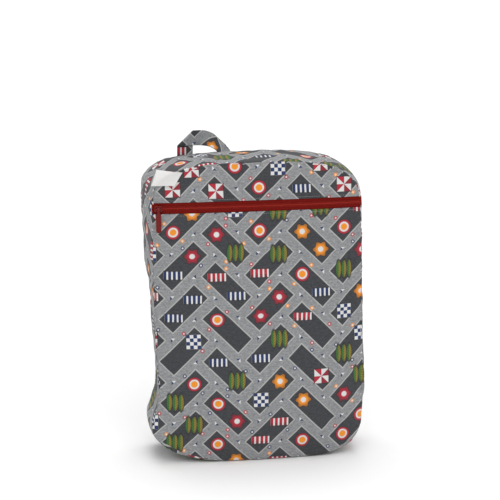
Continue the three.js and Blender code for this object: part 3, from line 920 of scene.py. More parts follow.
class ZipperLine:
    """The line of the closed zipper over the front, with the frame that follows it."""

    def __init__(self, form, overrun):
        self.form = form
        z = np.array([form.teeth_z])
        self.left = form.edge("front", -1, z)[0] - overrun
        self.right = form.edge("front", 1, z)[0] + overrun
        self.overrun = overrun

    def at(self, x, rise, behind):
        """Points at some heights over the zipper's middle and depths behind the cloth's face. Past the seams the line
        turns into the bag on a parabola."""
        x, rise, behind = np.broadcast_arrays(x, rise, behind)
        z = self.form.teeth_z + rise
        beyond = np.maximum(x - (self.right - self.overrun), (self.left + self.overrun) - x)
        turn = np.clip(beyond / max(self.overrun, 1 * MM), 0, 1) ** 2 * ZIPPER_TURN
        y = -self.form.reach("front", x, z) + behind + turn
        return np.stack([x, y, z], axis=-1)

    def frames(self, x):
        """Axes as rows: along the zipper, into the bag and up."""
        slope = unit(self.at(x + 1 * MM, 0, 0) - self.at(x - 1 * MM, 0, 0))
        up = np.broadcast_to(UP, slope.shape)
        return np.stack([slope, unit(np.cross(up, slope)), up], axis=1)


def build_tapes():
    sizes = bpy.context.scene.wetbag_zipper
    line = ZipperLine(BagForm(bpy.context.scene.wetbag_body), sizes.overrun)
    material = tape_cloth()
    x = np.linspace(line.left, line.right, TAPE_STEPS)
    profile = np.array(TAPE_PROFILE) * MM
    # Close to the side seams the tape is no wider than its slot
    ending = np.clip(1 - np.minimum(x - line.left, line.right - x) / TAPE_ENDING, 0, 1)[:, None]
    narrow = 1 - TAPE_NARROWING * ending * (2 - ending)
    for name, sign in (("zipper_tape_upper", 1), ("zipper_tape_lower", -1)):
        rise, behind = sign * profile[:, 0], profile[:, 1]
        face = line.at(x[:, None], rise[None] * narrow, behind[None])
        rear = line.at(x[:, None], rise[None, ::-1] * narrow, behind[None, ::-1] + sizes.tape_wall)
        rings = np.concatenate([face, rear], axis=1)
        across = np.concatenate([rise, rise[::-1]])
        cloth = np.stack(np.broadcast_arrays(x[:, None], across[None]), axis=-1)
        made = ribbon_piece("visual_" + name, rings, cloth, "zipper_tape", material, replaces=[name])
        bevel_edges(made, TAPE_BEVEL)


def bevel_edges(made, width):
    bevel = made.modifiers.new("edges", "BEVEL")
    bevel.width = width
    bevel.segments = 2
    bevel.limit_method = "ANGLE"
    bevel.angle_limit = BEVEL_SHARPEST


def build_teeth():
    """The coil: bars of thread from each tape that pass between those of the other, each thicker at its head."""
    sizes = bpy.context.scene.wetbag_zipper
    line = ZipperLine(BagForm(bpy.context.scene.wetbag_body), sizes.overrun)
    rise, width, depth, behind = np.array(TOOTH_RINGS).T[..., None] * MM
    width = width * sizes.tooth_wire / TOOTH_WIDTH
    turns = circle(8)
    rings = np.stack([width * np.cos(turns), behind + depth * np.sin(turns), rise + 0 * turns], axis=-1)
    teeth = []
    for sign, lead in ((1, 0.0), (-1, 0.5)):
        x = np.arange(teeth_low.x + lead * sizes.tooth_pitch, line.right - TEETH_END, sizes.tooth_pitch)
        teeth.append(repeated(*closed_loft(rings * [1, 1, sign]), line.at(x, 0, 0), line.frames(x)))
    points, faces = merged(teeth)
    piece("visual_zipper_teeth", points, faces, "zipper_teeth", coil_plastic(), replaces=["zipper_teeth"])


def capsule(size, wire):
    """A short thread along x with round ends."""
    ends, radii = np.array(STITCH_RINGS).T[..., None]
    turns = circle(6)
    radius = radii * wire / 2
    return closed_loft(np.stack([ends * size / 2 + 0 * turns, radius * np.cos(turns), radius * np.sin(turns)], axis=-1))


def build_stitches():
    """Two rows of stitches, each along one folded edge of cloth over the zipper, half sunk in the cloth."""
    sizes = bpy.context.scene.wetbag_zipper
    line = ZipperLine(BagForm(bpy.context.scene.wetbag_body), 0.0)
    stitch = capsule(sizes.stitch, sizes.stitch_wire)
    x = np.arange(line.left + STITCH_INSET, line.right - STITCH_INSET, sizes.stitch + sizes.stitch_gap)
    rows = [repeated(*stitch, line.at(x, rise, STITCH_SINK), line.frames(x)) for rise in (-STITCH_RISE, STITCH_RISE)]
    piece("zipper_stitches", *merged(rows), "printed_cloth", sewing_thread())


# Slider and pull


def placed(points):
    """Points of the slider's frame in the bag's: the frame follows the hinge, which lies over the cloth's face."""
    joint = frame["joints"][0]
    along = -unit(np.array(joint["axis"], float))
    inward = unit(np.cross(UP, along))
    face = np.array(joint["pos_m"], float) + inward * HINGE_RISE
    return points @ np.stack([along, inward, UP]) + face


def domed_plate(outline, near, dome):
    """A plate with rounded edges: rings shrink towards both faces, and the near face is domed."""
    centre = outline.mean(axis=0)
    rings = [(size, near + deep * PLATE_WALL - dome * (1 - size**2)) for size, deep in NEAR_RINGS]
    rings += [(size, near + deep * PLATE_WALL) for size, deep in FAR_RINGS]
    made = []
    for size, y in rings:
        flat = centre + (outline - centre) * size
        made.append(np.stack([flat[:, 0], np.full(len(flat), y), flat[:, 1]], axis=1))
    return closed_loft(np.stack(made))


def slider_half(x):
    """The slider's half height: it tapers to its tail and has a waist, a Gaussian dip in its middle."""
    taper = 1 - SLIDER_TAPER * (x / SLIDER_LENGTH + 0.5)
    return SLIDER_HEIGHT / 2 * taper * (1 - SLIDER_WAIST * np.exp(-((x / WAIST_WIDTH) ** 2)))


def slider_outline():
    """The slider seen from the front: a superellipse of that half height."""
    turns = circle(48)
    far = squared_circle(turns, SLIDER_SQUARENESS)
    x = far * np.cos(turns) * SLIDER_LENGTH / 2
    return np.stack([x, far * np.sin(turns) * slider_half(x)], axis=1)


def slider_rail(sign):
    """A rail that turns in along a long edge of the near plate, thinner at both ends."""
    x = np.linspace(-RAIL_HALF_LENGTH, RAIL_HALF_LENGTH, 15)[:, None]
    thick = np.sqrt(np.clip(1 - (x / RAIL_ROUND_END) ** 8, 0.05, 1))
    turns = circle(12)
    y = PLATE_FRONT + RAIL_DEPTH + thick * RAIL_HALF_DEPTH * np.cos(turns)
    z = sign * (slider_half(x) - RAIL_INSET) + thick * RAIL_HALF_HEIGHT * np.sin(turns)
    return closed_loft(np.stack([x + 0 * turns, y, z], axis=-1))


def slider_post():
    """The post between the plates, at the nose."""
    turns = circle(16)
    x = POST_INSET - SLIDER_LENGTH / 2 + POST_HALF_LENGTH * np.cos(turns)
    z = POST_HALF_HEIGHT * np.sin(turns)
    levels = np.linspace(PLATE_FRONT + PLATE_WALL / 2, PLATE_BACK - PLATE_WALL / 2, 4)
    return closed_loft(np.stack([np.stack([x, np.full(16, y), z], axis=1) for y in levels]))


def slider_bridge():
    """A wire that rises from the plate, bends, runs along the zipper and comes down again."""
    top, foot = -HINGE_RISE, PLATE_FRONT + BRIDGE_SUNK
    arc = np.linspace(0, math.pi / 2, 9)
    rise = np.stack([np.full(5, -BRIDGE_HALF), np.linspace(foot, top + BRIDGE_BEND, 5), np.zeros(5)], axis=1)
    corner = [BRIDGE_BEND * (1 - np.cos(arc)) - BRIDGE_HALF, top + BRIDGE_BEND * (1 - np.sin(arc)), 0 * arc]
    left = np.concatenate([rise[:-1], np.stack(corner, axis=1)])
    path = np.concatenate([left, left[::-1] * [-1, 1, 1]])
    along = unit(np.gradient(path, axis=0))[:, None]
    turns = circle(12)[None, :, None]
    return closed_loft(path[:, None] + BRIDGE_WIRE * (np.cos(turns) * unit(np.cross(along, UP)) + np.sin(turns) * UP))


def build_slider():
    outline = slider_outline()
    solids = [
        domed_plate(outline, PLATE_FRONT, PLATE_DOME),
        domed_plate(outline, PLATE_BACK - PLATE_WALL, 0.0),
        slider_rail(-1),
        slider_rail(1),
        slider_post(),
        slider_bridge(),
    ]
    points, faces = merged(solids)
    piece("visual_slider", placed(points), faces, "painted_slider", enamel(), replaces=["zipper_slider"])


def pull_eye():
    """The ring round the bridge, with rounded edges."""
    section = rounded_section(EYE_HALF_WIDTH, EYE_HALF_WALL, 4)
    turns = circle(EYE_STEPS)[:, None]
    radius = EYE_RADIUS + section[:, 1]
    eye = np.stack([section[:, 0] + 0 * turns, radius * np.cos(turns) - HINGE_RISE, radius * np.sin(turns)], axis=-1)
    points = eye.reshape(-1, 3)
    index = np.arange(len(points)).reshape(EYE_STEPS, len(section))
    index = np.concatenate([index, index[:1]])
    return points, outward(points, grid_faces(np.concatenate([index, index[:, :1]], axis=1)))


def pull_tab():
    """The tab below the eye: its neck widens by a smoothstep, its foot is round, and its face is a little hollow
    between its rims."""
    ending = np.sin(np.linspace(-0.25, 1, 18) * math.pi / 2)
    down = np.concatenate([np.linspace(PULL_TOP, PULL_STRAIGHT_FOOT, 44), PULL_FOOT - PULL_HALF * (1 - ending)])
    down = np.unique(np.round(down, 7))
    step = np.clip((down - PULL_NECK_FOOT) / PULL_WIDENING, 0, 1)
    width = lerp(EYE_HALF_WIDTH, PULL_HALF, step * step * (3 - 2 * step))
    width *= np.sqrt(np.clip(1 - (np.maximum(down - (PULL_FOOT - PULL_HALF), 0) / PULL_HALF) ** 2, 0.004, 1))
    rings = []
    for drop, half in zip(down, width):
        wall = PULL_HALF_WALL * min(1.0, 0.25 + half / PULL_THIN_BELOW)
        ring = rounded_section(half, min(wall, half * 0.9), 8)
        across = np.clip(np.abs(ring[:, 0]) / half, 0, 1)
        hollow = 1 - PULL_HOLLOW * np.clip((0.72 - across) / 0.15, 0, 1) * min(1.0, half / PULL_HALF) ** 4
        rings.append(np.stack([ring[:, 0], -HINGE_RISE - ring[:, 1] * hollow, np.full(len(ring), -drop)], axis=1))
    return closed_loft(np.stack(rings))


def build_pull():
    points, faces = merged([pull_eye(), pull_tab()])
    piece("visual_pull", placed(points), faces, "painted_slider", enamel(), body=PULL, replaces=["zipper_pull"])


# Strap and label


def smooth_curve(rows, samples=400):
    """A Catmull-Rom curve through rows of numbers, with the length along its first two columns."""
    padded = np.concatenate([2 * rows[:1] - rows[1:2], rows, 2 * rows[-1:] - rows[-2:-1]])
    t = np.linspace(0, len(rows) - 1, samples)
    k = np.minimum(t.astype(int), len(rows) - 2)
    f = (t - k)[:, None]
    a, b, c, d = (padded[k + step] for step in range(4))
    curve = 0.5 * (2 * b + (c - a) * f + (2 * a - 5 * b + 4 * c - d) * f**2 + (3 * b - a - 3 * c + d) * f**3)
    along = np.concatenate([[0], np.cumsum(np.hypot(*np.diff(curve[:, :2], axis=0).T))])
    return along, curve


class StrapShape:
    """The hanging loop: a straight leg that rises from the seam, is folded over a line at 45 degrees towards the front
    and the right, and comes back down to the seam as its outer edge leans back."""

    def __init__(self, form):
        depth = form.reach("back", np.array([STRAP_LEFT]), np.array([form.height]))[0] - STRAP_INSET
        self.base = np.array([STRAP_LEFT, depth, form.height])
        along, self.curve = smooth_curve(STRAP_ROWS)
        self.along = along * MM
        self.flat_end = STRAP_ROWS[0, 0] * MM

    def fold(self, along, across):
        """The band folded over its line: how far it is past the fold, and its points."""
        past = (along - STRAP_FOLD - across) / math.sqrt(2)
        foot = (along - STRAP_FOLD + across) / 2
        turn = np.clip(past, 0, STRAP_BEND * math.pi) / STRAP_BEND
        away = np.where(past < 0, past, STRAP_BEND * np.sin(turn)) - np.maximum(past - STRAP_BEND * math.pi, 0)
        x, z = foot - away / math.sqrt(2), STRAP_FOLD + foot + away / math.sqrt(2)
        return past, np.stack([x, -STRAP_BEND * (1 - np.cos(turn)), z], axis=-1)

    def bow(self, run, over):
        """The band past the fold, where it follows its table: run is its length to the right, over its own height."""
        x, z, turned, shown, y = (np.interp(run, self.along, self.curve[:, k]) for k in range(5))
        turned, shown = np.radians(turned), np.clip(shown, 0, 1)
        wide = np.stack([-np.cos(turned) * shown, np.sqrt(1 - shown**2), np.sin(turned) * shown], axis=-1)
        return np.stack([x, y, z], axis=-1) * MM + wide * over[..., None]

    def point(self, along, across):
        past, flat = self.fold(along, across)
        run = flat[..., 0] - self.flat_end
        bowed = (past > STRAP_BEND * math.pi) & (run > 0)
        points = np.where(bowed[..., None], self.bow(run, flat[..., 2] - STRAP_FOLD), flat)
        # All of it leans forward about a line a little over the seam, eased in by a hyperbola
        over = points[..., 2] - STRAP_HINGE
        leant = 0.5 * (over + np.sqrt(over**2 + STRAP_EASE**2))
        points[..., 2] -= leant * (1 - math.cos(STRAP_LEAN))
        points[..., 1] -= leant * math.sin(STRAP_LEAN)
        return self.base + points


def build_strap():
    shape = StrapShape(BagForm(bpy.context.scene.wetbag_body))
    total = STRAP_FOLD + shape.flat_end + shape.along[-1] + STRAP_BEND * math.pi / math.sqrt(2)
    section = rounded_section(STRAP_HALF_WIDTH, STRAP_HALF_WALL, 30)
    rings, cloth = thick_ribbon(shape.point, np.linspace(-STRAP_SUNK, total - 1 * MM, STRAP_STEPS), section)
    cloth = cloth + STRAP_PRINT_SHIFT
    ribbon_piece("visual_strap", rings, cloth, "printed_cloth", printed_cloth(), replaces=["strap_loop"])


def label_surface(form):
    """The tag's middle: it is sewn in at its top edge, lies on the front and lifts towards its lower corners. Its
    corners' lift grows with the square of the drop, and a sine makes it wavy."""
    upper = form.height - form.slot_top
    length_down = LABEL_LENGTH * upper

    def surface(along, across):
        drop = np.clip(along / length_down, -0.3, 1.3)
        share = across / LABEL_WIDTH + 0.5
        x = LABEL_INSET - form.half + share * LABEL_WIDTH * (1 - LABEL_TAPER * drop) - drop * LABEL_LEAN
        z = form.slot_top + (LABEL_TOP - drop * LABEL_DROP) * upper - LABEL_TILT * share * (1 - drop)
        corner = np.maximum(drop, 0) ** 2 * (LABEL_SPRING + LABEL_CURL * (2 * share - 0.75) ** 2)
        wave = LABEL_WAVE * np.sin(share * 6.0 + 0.8) * np.clip(drop, 0, 1)
        # Past the seam the front falls away, and the tag follows it a quarter of the way
        beyond = np.maximum(form.edge("front", -1, z) - x, 0)
        y = 0.25 * beyond - form.reach("front", x, z) - LABEL_LIFT - corner - wave
        return np.stack([x, y, z], axis=-1)

    return surface, length_down


def build_label():
    surface, length_down = label_surface(BagForm(bpy.context.scene.wetbag_body))
    section = rounded_section(LABEL_WIDTH / 2, LABEL_HALF_WALL, 30, rounding=2)
    rings, cloth = thick_ribbon(surface, np.linspace(0, length_down, 22), section)
    made = ribbon_piece("visual_label", rings, cloth, "label", satin(), replaces=["label_tag"])
    bevel_edges(made, LABEL_BEVEL)


# Materials


class Value:
    """A socket of a node tree that takes part in arithmetic. A comparison gives 1 where it holds and 0 elsewhere."""

    def __init__(self, nodes, socket):
        self.nodes, self.socket = nodes, socket

    def __add__(self, other):
        return self.nodes.math("ADD", self, other)

    def __sub__(self, other):
        return self.nodes.math("SUBTRACT", self, other)

    def __rsub__(self, other):
        return self.nodes.math("SUBTRACT", other, self)

    def __mul__(self, other):
        return self.nodes.math("MULTIPLY", self, other)

    def __truediv__(self, other):
        return self.nodes.math("DIVIDE", self, other)

    def __rtruediv__(self, other):
        return self.nodes.math("DIVIDE", other, self)

    def __mod__(self, other):
        return self.nodes.math("FLOORED_MODULO", self, other)

    def __abs__(self):
        return self.nodes.math("ABSOLUTE", self)

    def __gt__(self, other):
        return self.nodes.math("GREATER_THAN", self, other)

    def __lt__(self, other):
        return self.nodes.math("LESS_THAN", self, other)


class Nodes:
    """Places nodes in a tree and links them: each call takes numbers, colours or values and returns a value."""

    def __init__(self, tree):
        self.tree = tree

    def add(self, kind, **values):
        made = self.tree.nodes.new(kind)
        for name, value in values.items():
            setattr(made, name, value)
        return made

    def feed(self, socket, value):
        if isinstance(value, Value):
            self.tree.links.new(value.socket, socket)
        else:
            socket.default_value = (*value, 1.0) if socket.type == "RGBA" and len(value) == 3 else value

    def first(self, made, *values):
        """Feeds a node's inputs in their order and returns its first output."""
        for socket, value in zip(made.inputs, values):
            self.feed(socket, value)
        return Value(self, made.outputs[0])

    def math(self, operation, *values, clamp=False):
        return self.first(self.add("ShaderNodeMath", operation=operation, use_clamp=clamp), *values)

    def floor(self, value):
        return self.math("FLOOR", value)

    def least(self, a, b):
        return self.math("MINIMUM", a, b)

    def far(self, x, y):
        """How far a point lies from the origin."""
        return self.math("SQRT", x * x + y * y)

    def mix(self, share, a, b, blend="MIX"):
        made = self.add("ShaderNodeMix", data_type="RGBA", blend_type=blend)
        self.feed(made.inputs["Factor"], share)
        for socket, value in zip((socket for socket in made.inputs if socket.type == "RGBA"), (a, b)):
            self.feed(socket, value)
        return Value(self, next(socket for socket in made.outputs if socket.type == "RGBA"))

    def choose(self, share, a, b):
        """a where share is 0 and b where it is 1, for numbers."""
        return self.math("MULTIPLY_ADD", share, self.math("SUBTRACT", b, a), a)

    def inside(self, distance, soft=0.012):
        """1 where a distance is positive, with a soft edge."""
        return self.math("MULTIPLY_ADD", distance, 0.5 / soft, 0.5, clamp=True)

    def split(self, vector):
        made = self.add("ShaderNodeSeparateXYZ")
        self.feed(made.inputs[0], vector)
        return [Value(self, socket) for socket in made.outputs]

    def join(self, x, y, z=0.0):
        return self.first(self.add("ShaderNodeCombineXYZ"), x, y, z)

    def noise(self, vector, scale, detail=3.0, rough=0.55):
        made = self.add("ShaderNodeTexNoise")
        for name, value in {"Vector": vector, "Scale": scale, "Detail": detail, "Roughness": rough}.items():
            self.feed(made.inputs[name], value)
        return Value(self, made.outputs[0])

    def chance(self, vector):
        """A number from 0 to 1 that any change of the vector changes."""
        return self.first(self.add("ShaderNodeTexWhiteNoise", noise_dimensions="3D"), vector)

    def group(self, tree, **values):
        """A node group fed by name, and its outputs by name."""
        made = self.add("ShaderNodeGroup", node_tree=tree)
        for name, value in values.items():
            self.feed(made.inputs[name.capitalize()], value)
        return {socket.name: Value(self, socket) for socket in made.outputs}

    def cloth_place(self):
        """The cloth coordinates, in metres."""
        return Value(self, self.add("ShaderNodeUVMap", uv_map="cloth").outputs[0])

    def solid_place(self):
        return Value(self, self.add("ShaderNodeTexCoord").outputs["Object"])


def kept(collection, name):
    """Makes a builder of a named data block run once: later calls return the block that it made."""

    def wrap(build):
        @functools.wraps(build)
        def get():
            return getattr(bpy.data, collection).get(name) or build(name)

        return get

    return wrap


def node_group(name, inputs, outputs):
    """An empty shader node group with named sockets: its node helper, its inputs by name and its end node."""
    tree = bpy.data.node_groups.new(name, "ShaderNodeTree")
    kinds = {"f": "NodeSocketFloat", "c": "NodeSocketColor", "v": "NodeSocketVector"}
    for label, kind, value in inputs:
        socket = tree.interface.new_socket(name=label, in_out="INPUT", socket_type=kinds[kind])
        if value is not None:
            socket.default_value = (*value, 1.0) if kind == "c" else value
    for label in outputs:
        kind = "NodeSocketColor" if label == "Color" else "NodeSocketFloat"
        tree.interface.new_socket(name=label, in_out="OUTPUT", socket_type=kind)
    n = Nodes(tree)
    given = {socket.name: Value(n, socket) for socket in tree.nodes.new("NodeGroupInput").outputs}
    return n, given, tree.nodes.new("NodeGroupOutput")


@kept("node_groups", "Herringbone print")
def print_group(name):
    """The print: two-by-one blocks laid in a herringbone that is turned 45 degrees, with lanes between them and two
    small motifs on each block, picked by chance from the block's own number. Lengths are in short sides of a block."""
    colours = bpy.context.scene.wetbag_colours
    names = ("lane", "block", "outline", "ink", "red", "orange", "green", "navy", "white")
    inputs = [("Vector", "v", None), ("Unit", "f", colours.unit), ("Lane share", "f", LANE_SHARE)]
    inputs += [(tint.capitalize(), "c", getattr(colours, tint)) for tint in names]
    n, given, end = node_group(name, inputs, ["Color"])
    lane, block, outline, ink, red, orange, green, navy, white = (given[tint.capitalize()] for tint in names)

    # The block that a point lies on, and how far along and across it
    x, z, _ = n.split(given["Vector"])
    turned = given["Unit"] * math.sqrt(2)
    p, q = (x + z) / turned, (z - x) / turned
    i, j = n.floor(p), n.floor(q)
    cell = (i - j) % 4.0
    upright = cell > 1.5
    back = 3.0 - cell
    long = n.choose(upright, p - i + cell, q - j + back)
    short = n.choose(upright, q - j, p - i)
    near_end, near_side = n.least(long, 2.0 - long), n.least(short, 1.0 - short)
    rim = n.least(near_end, near_side) - given["Lane share"]

    # Each half of a block has a motif of its own, in axes that stand upright on the cloth
    half = long > 1.0
    off_long, off_short = long - n.choose(half, *MOTIF_MIDDLES), short - 0.5
    along_p, along_q = n.choose(upright, off_long, off_short), n.choose(upright, off_short, off_long)
    mx, mz = (along_p - along_q) * math.sqrt(0.5), (along_p + along_q) * math.sqrt(0.5)
    first, second = n.choose(upright, i - cell, i), n.choose(upright, j, j - back)
    number = n.join(first, second, half * 3.7 + upright * 9.3)
    pick = n.chance(number)
    other = n.chance(n.join(*(part * 1.731 for part in n.split(number))))
    far = n.far(mx, mz)
    turn = n.math("ARCTAN2", mz, mx)
    box = n.math("MAXIMUM", abs(mx), abs(mz))

    # Heather: streaks that run across the cloth, light and dark
    streaks = n.noise(n.join(x * 0.35, z), STREAKS, 3.0, 0.7)
    shade = streaks * 1.3 + n.noise(given["Vector"], SPECKS, 2.0, 0.6) * 0.9 - 0.1
    result = n.mix(1.0, n.mix(n.inside(rim), lane, block), n.join(shade, shade, shade), "MULTIPLY")
    result = n.mix(n.inside(BLOCK_LINE - abs(rim)), result, outline)

    # A small quartered diamond where lanes cross, and a bead beside each block
    diamond = n.inside(DIAMOND - (near_end + near_side), 0.008)
    result = n.mix(diamond, result, n.mix(upright, white, navy))
    bead_far = n.far(abs(long - 1.0) - BEAD_PLACE, near_side - given["Lane share"] * 0.5)
    bead = n.mix(other > ORANGE_CHANCE, n.mix(other > RED_CHANCE, navy, red), orange)
    bead = n.mix(n.inside(BEAD_HEART - bead_far), bead, white)
    result = n.mix(n.inside(BEAD - bead_far) * (other > BEAD_CHANCE), result, bead)

    # Leaves: three upright ovals, each light on one side
    leaf_number = n.least(n.math("MAXIMUM", n.math("ROUND", mx / LEAF_STEP), -1.0), 1.0)
    leaf_x = mx - leaf_number * LEAF_STEP
    leaf = (1.0 - n.far(leaf_x / LEAF_HALF_WIDTH, mz / LEAF_HALF_HEIGHT)) * LEAF_HALF_WIDTH
    vein = n.inside(n.math("SINE", (mz - abs(leaf_x)) * 75.0), 0.5)
    leaf_tint = n.mix(vein * 0.45, n.mix(leaf_x > 0.0, green, n.mix(0.3, green, orange)), ink)

    # A round flower with a pale heart and a darker tip to each petal
    flower = n.math("COSINE", turn * 6.0) * FLOWER_PETAL + FLOWER - far
    petal = n.mix(n.inside(far - FLOWER_TIP, 0.05) * 0.55, n.mix(other > 0.5, orange, red), ink)
    flower_tint = n.mix(n.inside(FLOWER_HEART - far), petal, white)

    # A pinwheel, a striped bar, a checked square, and a ring round a dot
    wedges = n.math("SINE", turn * 4.0) > 0.0
    pinwheel_tint = n.mix(wedges, white, n.mix(mx > 0.0, red, n.mix(0.4, red, ink)))
    bar = n.least(BAR_HALF_HEIGHT - abs(mz), BAR_HALF_WIDTH - abs(mx))
    bar_hue = n.mix(other > 0.4, navy, red)
    bar_hue = n.mix(mz < BAR_SHADE, bar_hue, n.mix(0.5, bar_hue, ink))
    bar_tint = n.mix(n.math("FRACT", mx / STRIPE_STEP) > STRIPE_SHARE, bar_hue, white)
    odd = (n.floor(mx / CHECK) + n.floor(mz / CHECK)) % 2.0 > 0.5
    ring_tint = n.mix(n.inside(far - RING_WHITE), n.mix(n.inside(far - RING_DOT), orange, white), red)

    # The picks that show each motif, how far a point is inside it, and its colour. Each has a dark line round it.
    motifs = (
        (0.0, 0.19, leaf, leaf_tint),
        (0.19, 0.36, flower, flower_tint),
        (0.36, 0.5, SQUARE - box, pinwheel_tint),
        (0.5, 0.66, bar, bar_tint),
        (0.66, 0.77, SQUARE - box, n.mix(odd, white, navy)),
        (0.77, 0.88, RING - far, ring_tint),
    )
    for low, high, inside, tint in motifs:
        chosen = (pick > low) * (pick < high)
        result = n.mix(n.inside(inside + INK_LINE) * chosen, result, ink)
        result = n.mix(n.inside(inside) * chosen, result, tint)
    n.feed(end.inputs["Color"], result)
    return n.tree


@kept("node_groups", "Plain weave")
def weave_group(name):
    """A plain weave: threads over and under each other, with uneven threads and slubs. Height is 0 to 1, and Shade is
    painted shade: a colour factor near 1, darker where the threads lie low and lighter on the high ones."""
    inputs = [("Vector", "v", None), ("Thread", "f", 0.0006), ("Contrast", "f", 0.25)]
    n, given, end = node_group(name, inputs, ["Height", "Shade"])
    x, y, _ = n.split(given["Vector"])
    turns = math.pi / given["Thread"]
    over = n.math("SINE", x * turns) * n.math("SINE", y * turns) * 0.5 + 0.5
    height = n.noise(given["Vector"], SLUBS, 2.0) * 0.35 + over * 0.65
    n.feed(end.inputs["Height"], height)
    # Painted shade: the colour follows the height, darker between the threads and lighter on their tops
    n.feed(end.inputs["Shade"], (height - 0.5) * given["Contrast"] + 1.0)
    return n.tree


@kept("node_groups", "Mottle")
def mottle_group(name):
    """Unevenness of dye and light wear: a fine and a broad noise as one colour factor near 1."""
    inputs = [("Vector", "v", None), ("Fine", "f", 0.3), ("Broad", "f", 0.12)]
    n, given, end = node_group(name, inputs, ["Factor"])
    fine = (n.noise(given["Vector"], DYE_GRAIN, 2.0) - 0.5) * given["Fine"]
    broad = (n.noise(given["Vector"], DYE_CLOUDS) - 0.5) * given["Broad"]
    n.feed(end.inputs["Factor"], fine + broad + 1.0)
    return n.tree


def new_material(name, finish):
    """A material with one shader, whose inputs take the finish: the material, its node helper and the shader."""
    material = bpy.data.materials.new(name)
    material.use_nodes = True
    shader = next(node for node in material.node_tree.nodes if node.type == "BSDF_PRINCIPLED")
    for label, value in finish.items():
        shader.inputs[label].default_value = value
    return material, Nodes(material.node_tree), shader


def dye(n, shader, colour, place, fine, broad, shade=None):
    """Colours a shader, made uneven by the mottle's random tone and by a painted shade where one is given."""
    factor = n.group(mottle_group(), vector=place, fine=fine, broad=broad)["Factor"]
    factor = factor if shade is None else shade * factor
    tone = colour if isinstance(colour, Value) else tuple(colour)
    n.feed(shader.inputs["Base Color"], n.mix(1.0, tone, n.join(factor, factor, factor), "MULTIPLY"))


def bump(n, shader, height, distance, strength=1.0):
    made = n.add("ShaderNodeBump")
    for name, value in {"Strength": strength, "Distance": distance, "Height": height}.items():
        n.feed(made.inputs[name], value)
    n.feed(shader.inputs["Normal"], Value(n, made.outputs[0]))


@kept("materials", "printed cloth")
def printed_cloth(name):
    """Printed cotton: the print on a plain weave with fine creases, and painted shade between the threads."""
    finish = {"Roughness": 0.78, "Sheen Weight": 0.12, "Sheen Roughness": 0.5, "Specular IOR Level": 0.3}
    material, n, shader = new_material(name, finish)
    place = n.cloth_place()
    pattern = n.group(print_group(), vector=place)["Color"]
    weave = n.group(weave_group(), vector=place, thread=bpy.context.scene.wetbag_colours.thread, contrast=0.22)
    # The weave's shade is painted shade, darker where the threads lie low; the mottle is random tone
    dye(n, shader, pattern, place, 0.5, 0.1, weave["Shade"])
    bump(n, shader, n.noise(place, CREASES) * 1.6 + weave["Height"] * 0.5, 0.12 * MM, 0.8)
    return material


@kept("materials", "zipper tape")
def tape_cloth(name):
    """Ribbed polyester tape: fine ribs along it and a weave, with painted shade in the grooves of both."""
    material, n, shader = new_material(name, {"Roughness": 0.75, "Specular IOR Level": 0.1})
    place = n.cloth_place()
    across = n.split(place)[1]
    ribs = n.math("SINE", across * (2 * math.pi / TAPE_RIB))
    weave = n.group(weave_group(), vector=place, thread=TAPE_THREAD, contrast=0.5)
    tape = bpy.context.scene.wetbag_zipper.tape
    # Painted shade: the ribs and the weave darken the tape's colour in their grooves
    dye(n, shader, tape, place, 0.5, 0.15, weave["Shade"] * (ribs * 0.08 + 1.0))
    bump(n, shader, ribs * 0.35 + weave["Height"] * 0.65, 0.14 * MM)
    return material


@kept("materials", "zipper coil")
def coil_plastic(name):
    material, n, shader = new_material(name, {"Roughness": 0.45, "Specular IOR Level": 0.25})
    dye(n, shader, bpy.context.scene.wetbag_zipper.coil, n.solid_place(), 0.35, 0.1)
    return material


@kept("materials", "sewing thread")
def sewing_thread(name):
    material, n, shader = new_material(name, {"Roughness": 0.6})
    dye(n, shader, bpy.context.scene.wetbag_colours.lane, n.solid_place(), 0.5, 0.1)
    return material


@kept("materials", "enamel")
def enamel(name):
    """Thick glossy paint with a faint ripple and worn, rougher patches."""
    material, n, shader = new_material(name, {"Coat Weight": 0.08, "Specular IOR Level": 0.2})
    place = n.solid_place()
    dye(n, shader, bpy.context.scene.wetbag_zipper.enamel, place, 0.12, 0.1)
    n.feed(shader.inputs["Roughness"], n.noise(place, WORN_PATCHES, 4.0) * 0.2 + 0.26)
    bump(n, shader, n.noise(place, PAINT_RIPPLES, 2.0), 0.05 * MM, 0.5)
    return material


@kept("materials", "satin")
def satin(name):
    """White woven satin of the tag: fine ribs across it and soft creases."""
    material, n, shader = new_material(name, {"Roughness": 0.5, "Sheen Weight": 0.2})
    place = n.cloth_place()
    ribs = n.math("SINE", n.split(place)[1] * (2 * math.pi / SATIN_RIB))
    dye(n, shader, SATIN_WHITE, place, 0.06, 0.05)
    bump(n, shader, n.noise(place, SATIN_CREASES) * 2.0 + ribs, 0.1 * MM, 0.7)
    return material


# Studio


def aim(thing, place, target):
    """Puts a camera or a light at a place and turns it to a target."""
    thing.location = place
    thing.rotation_mode = "QUATERNION"
    thing.rotation_quaternion = (target - place).to_track_quat("-Z", "Y")


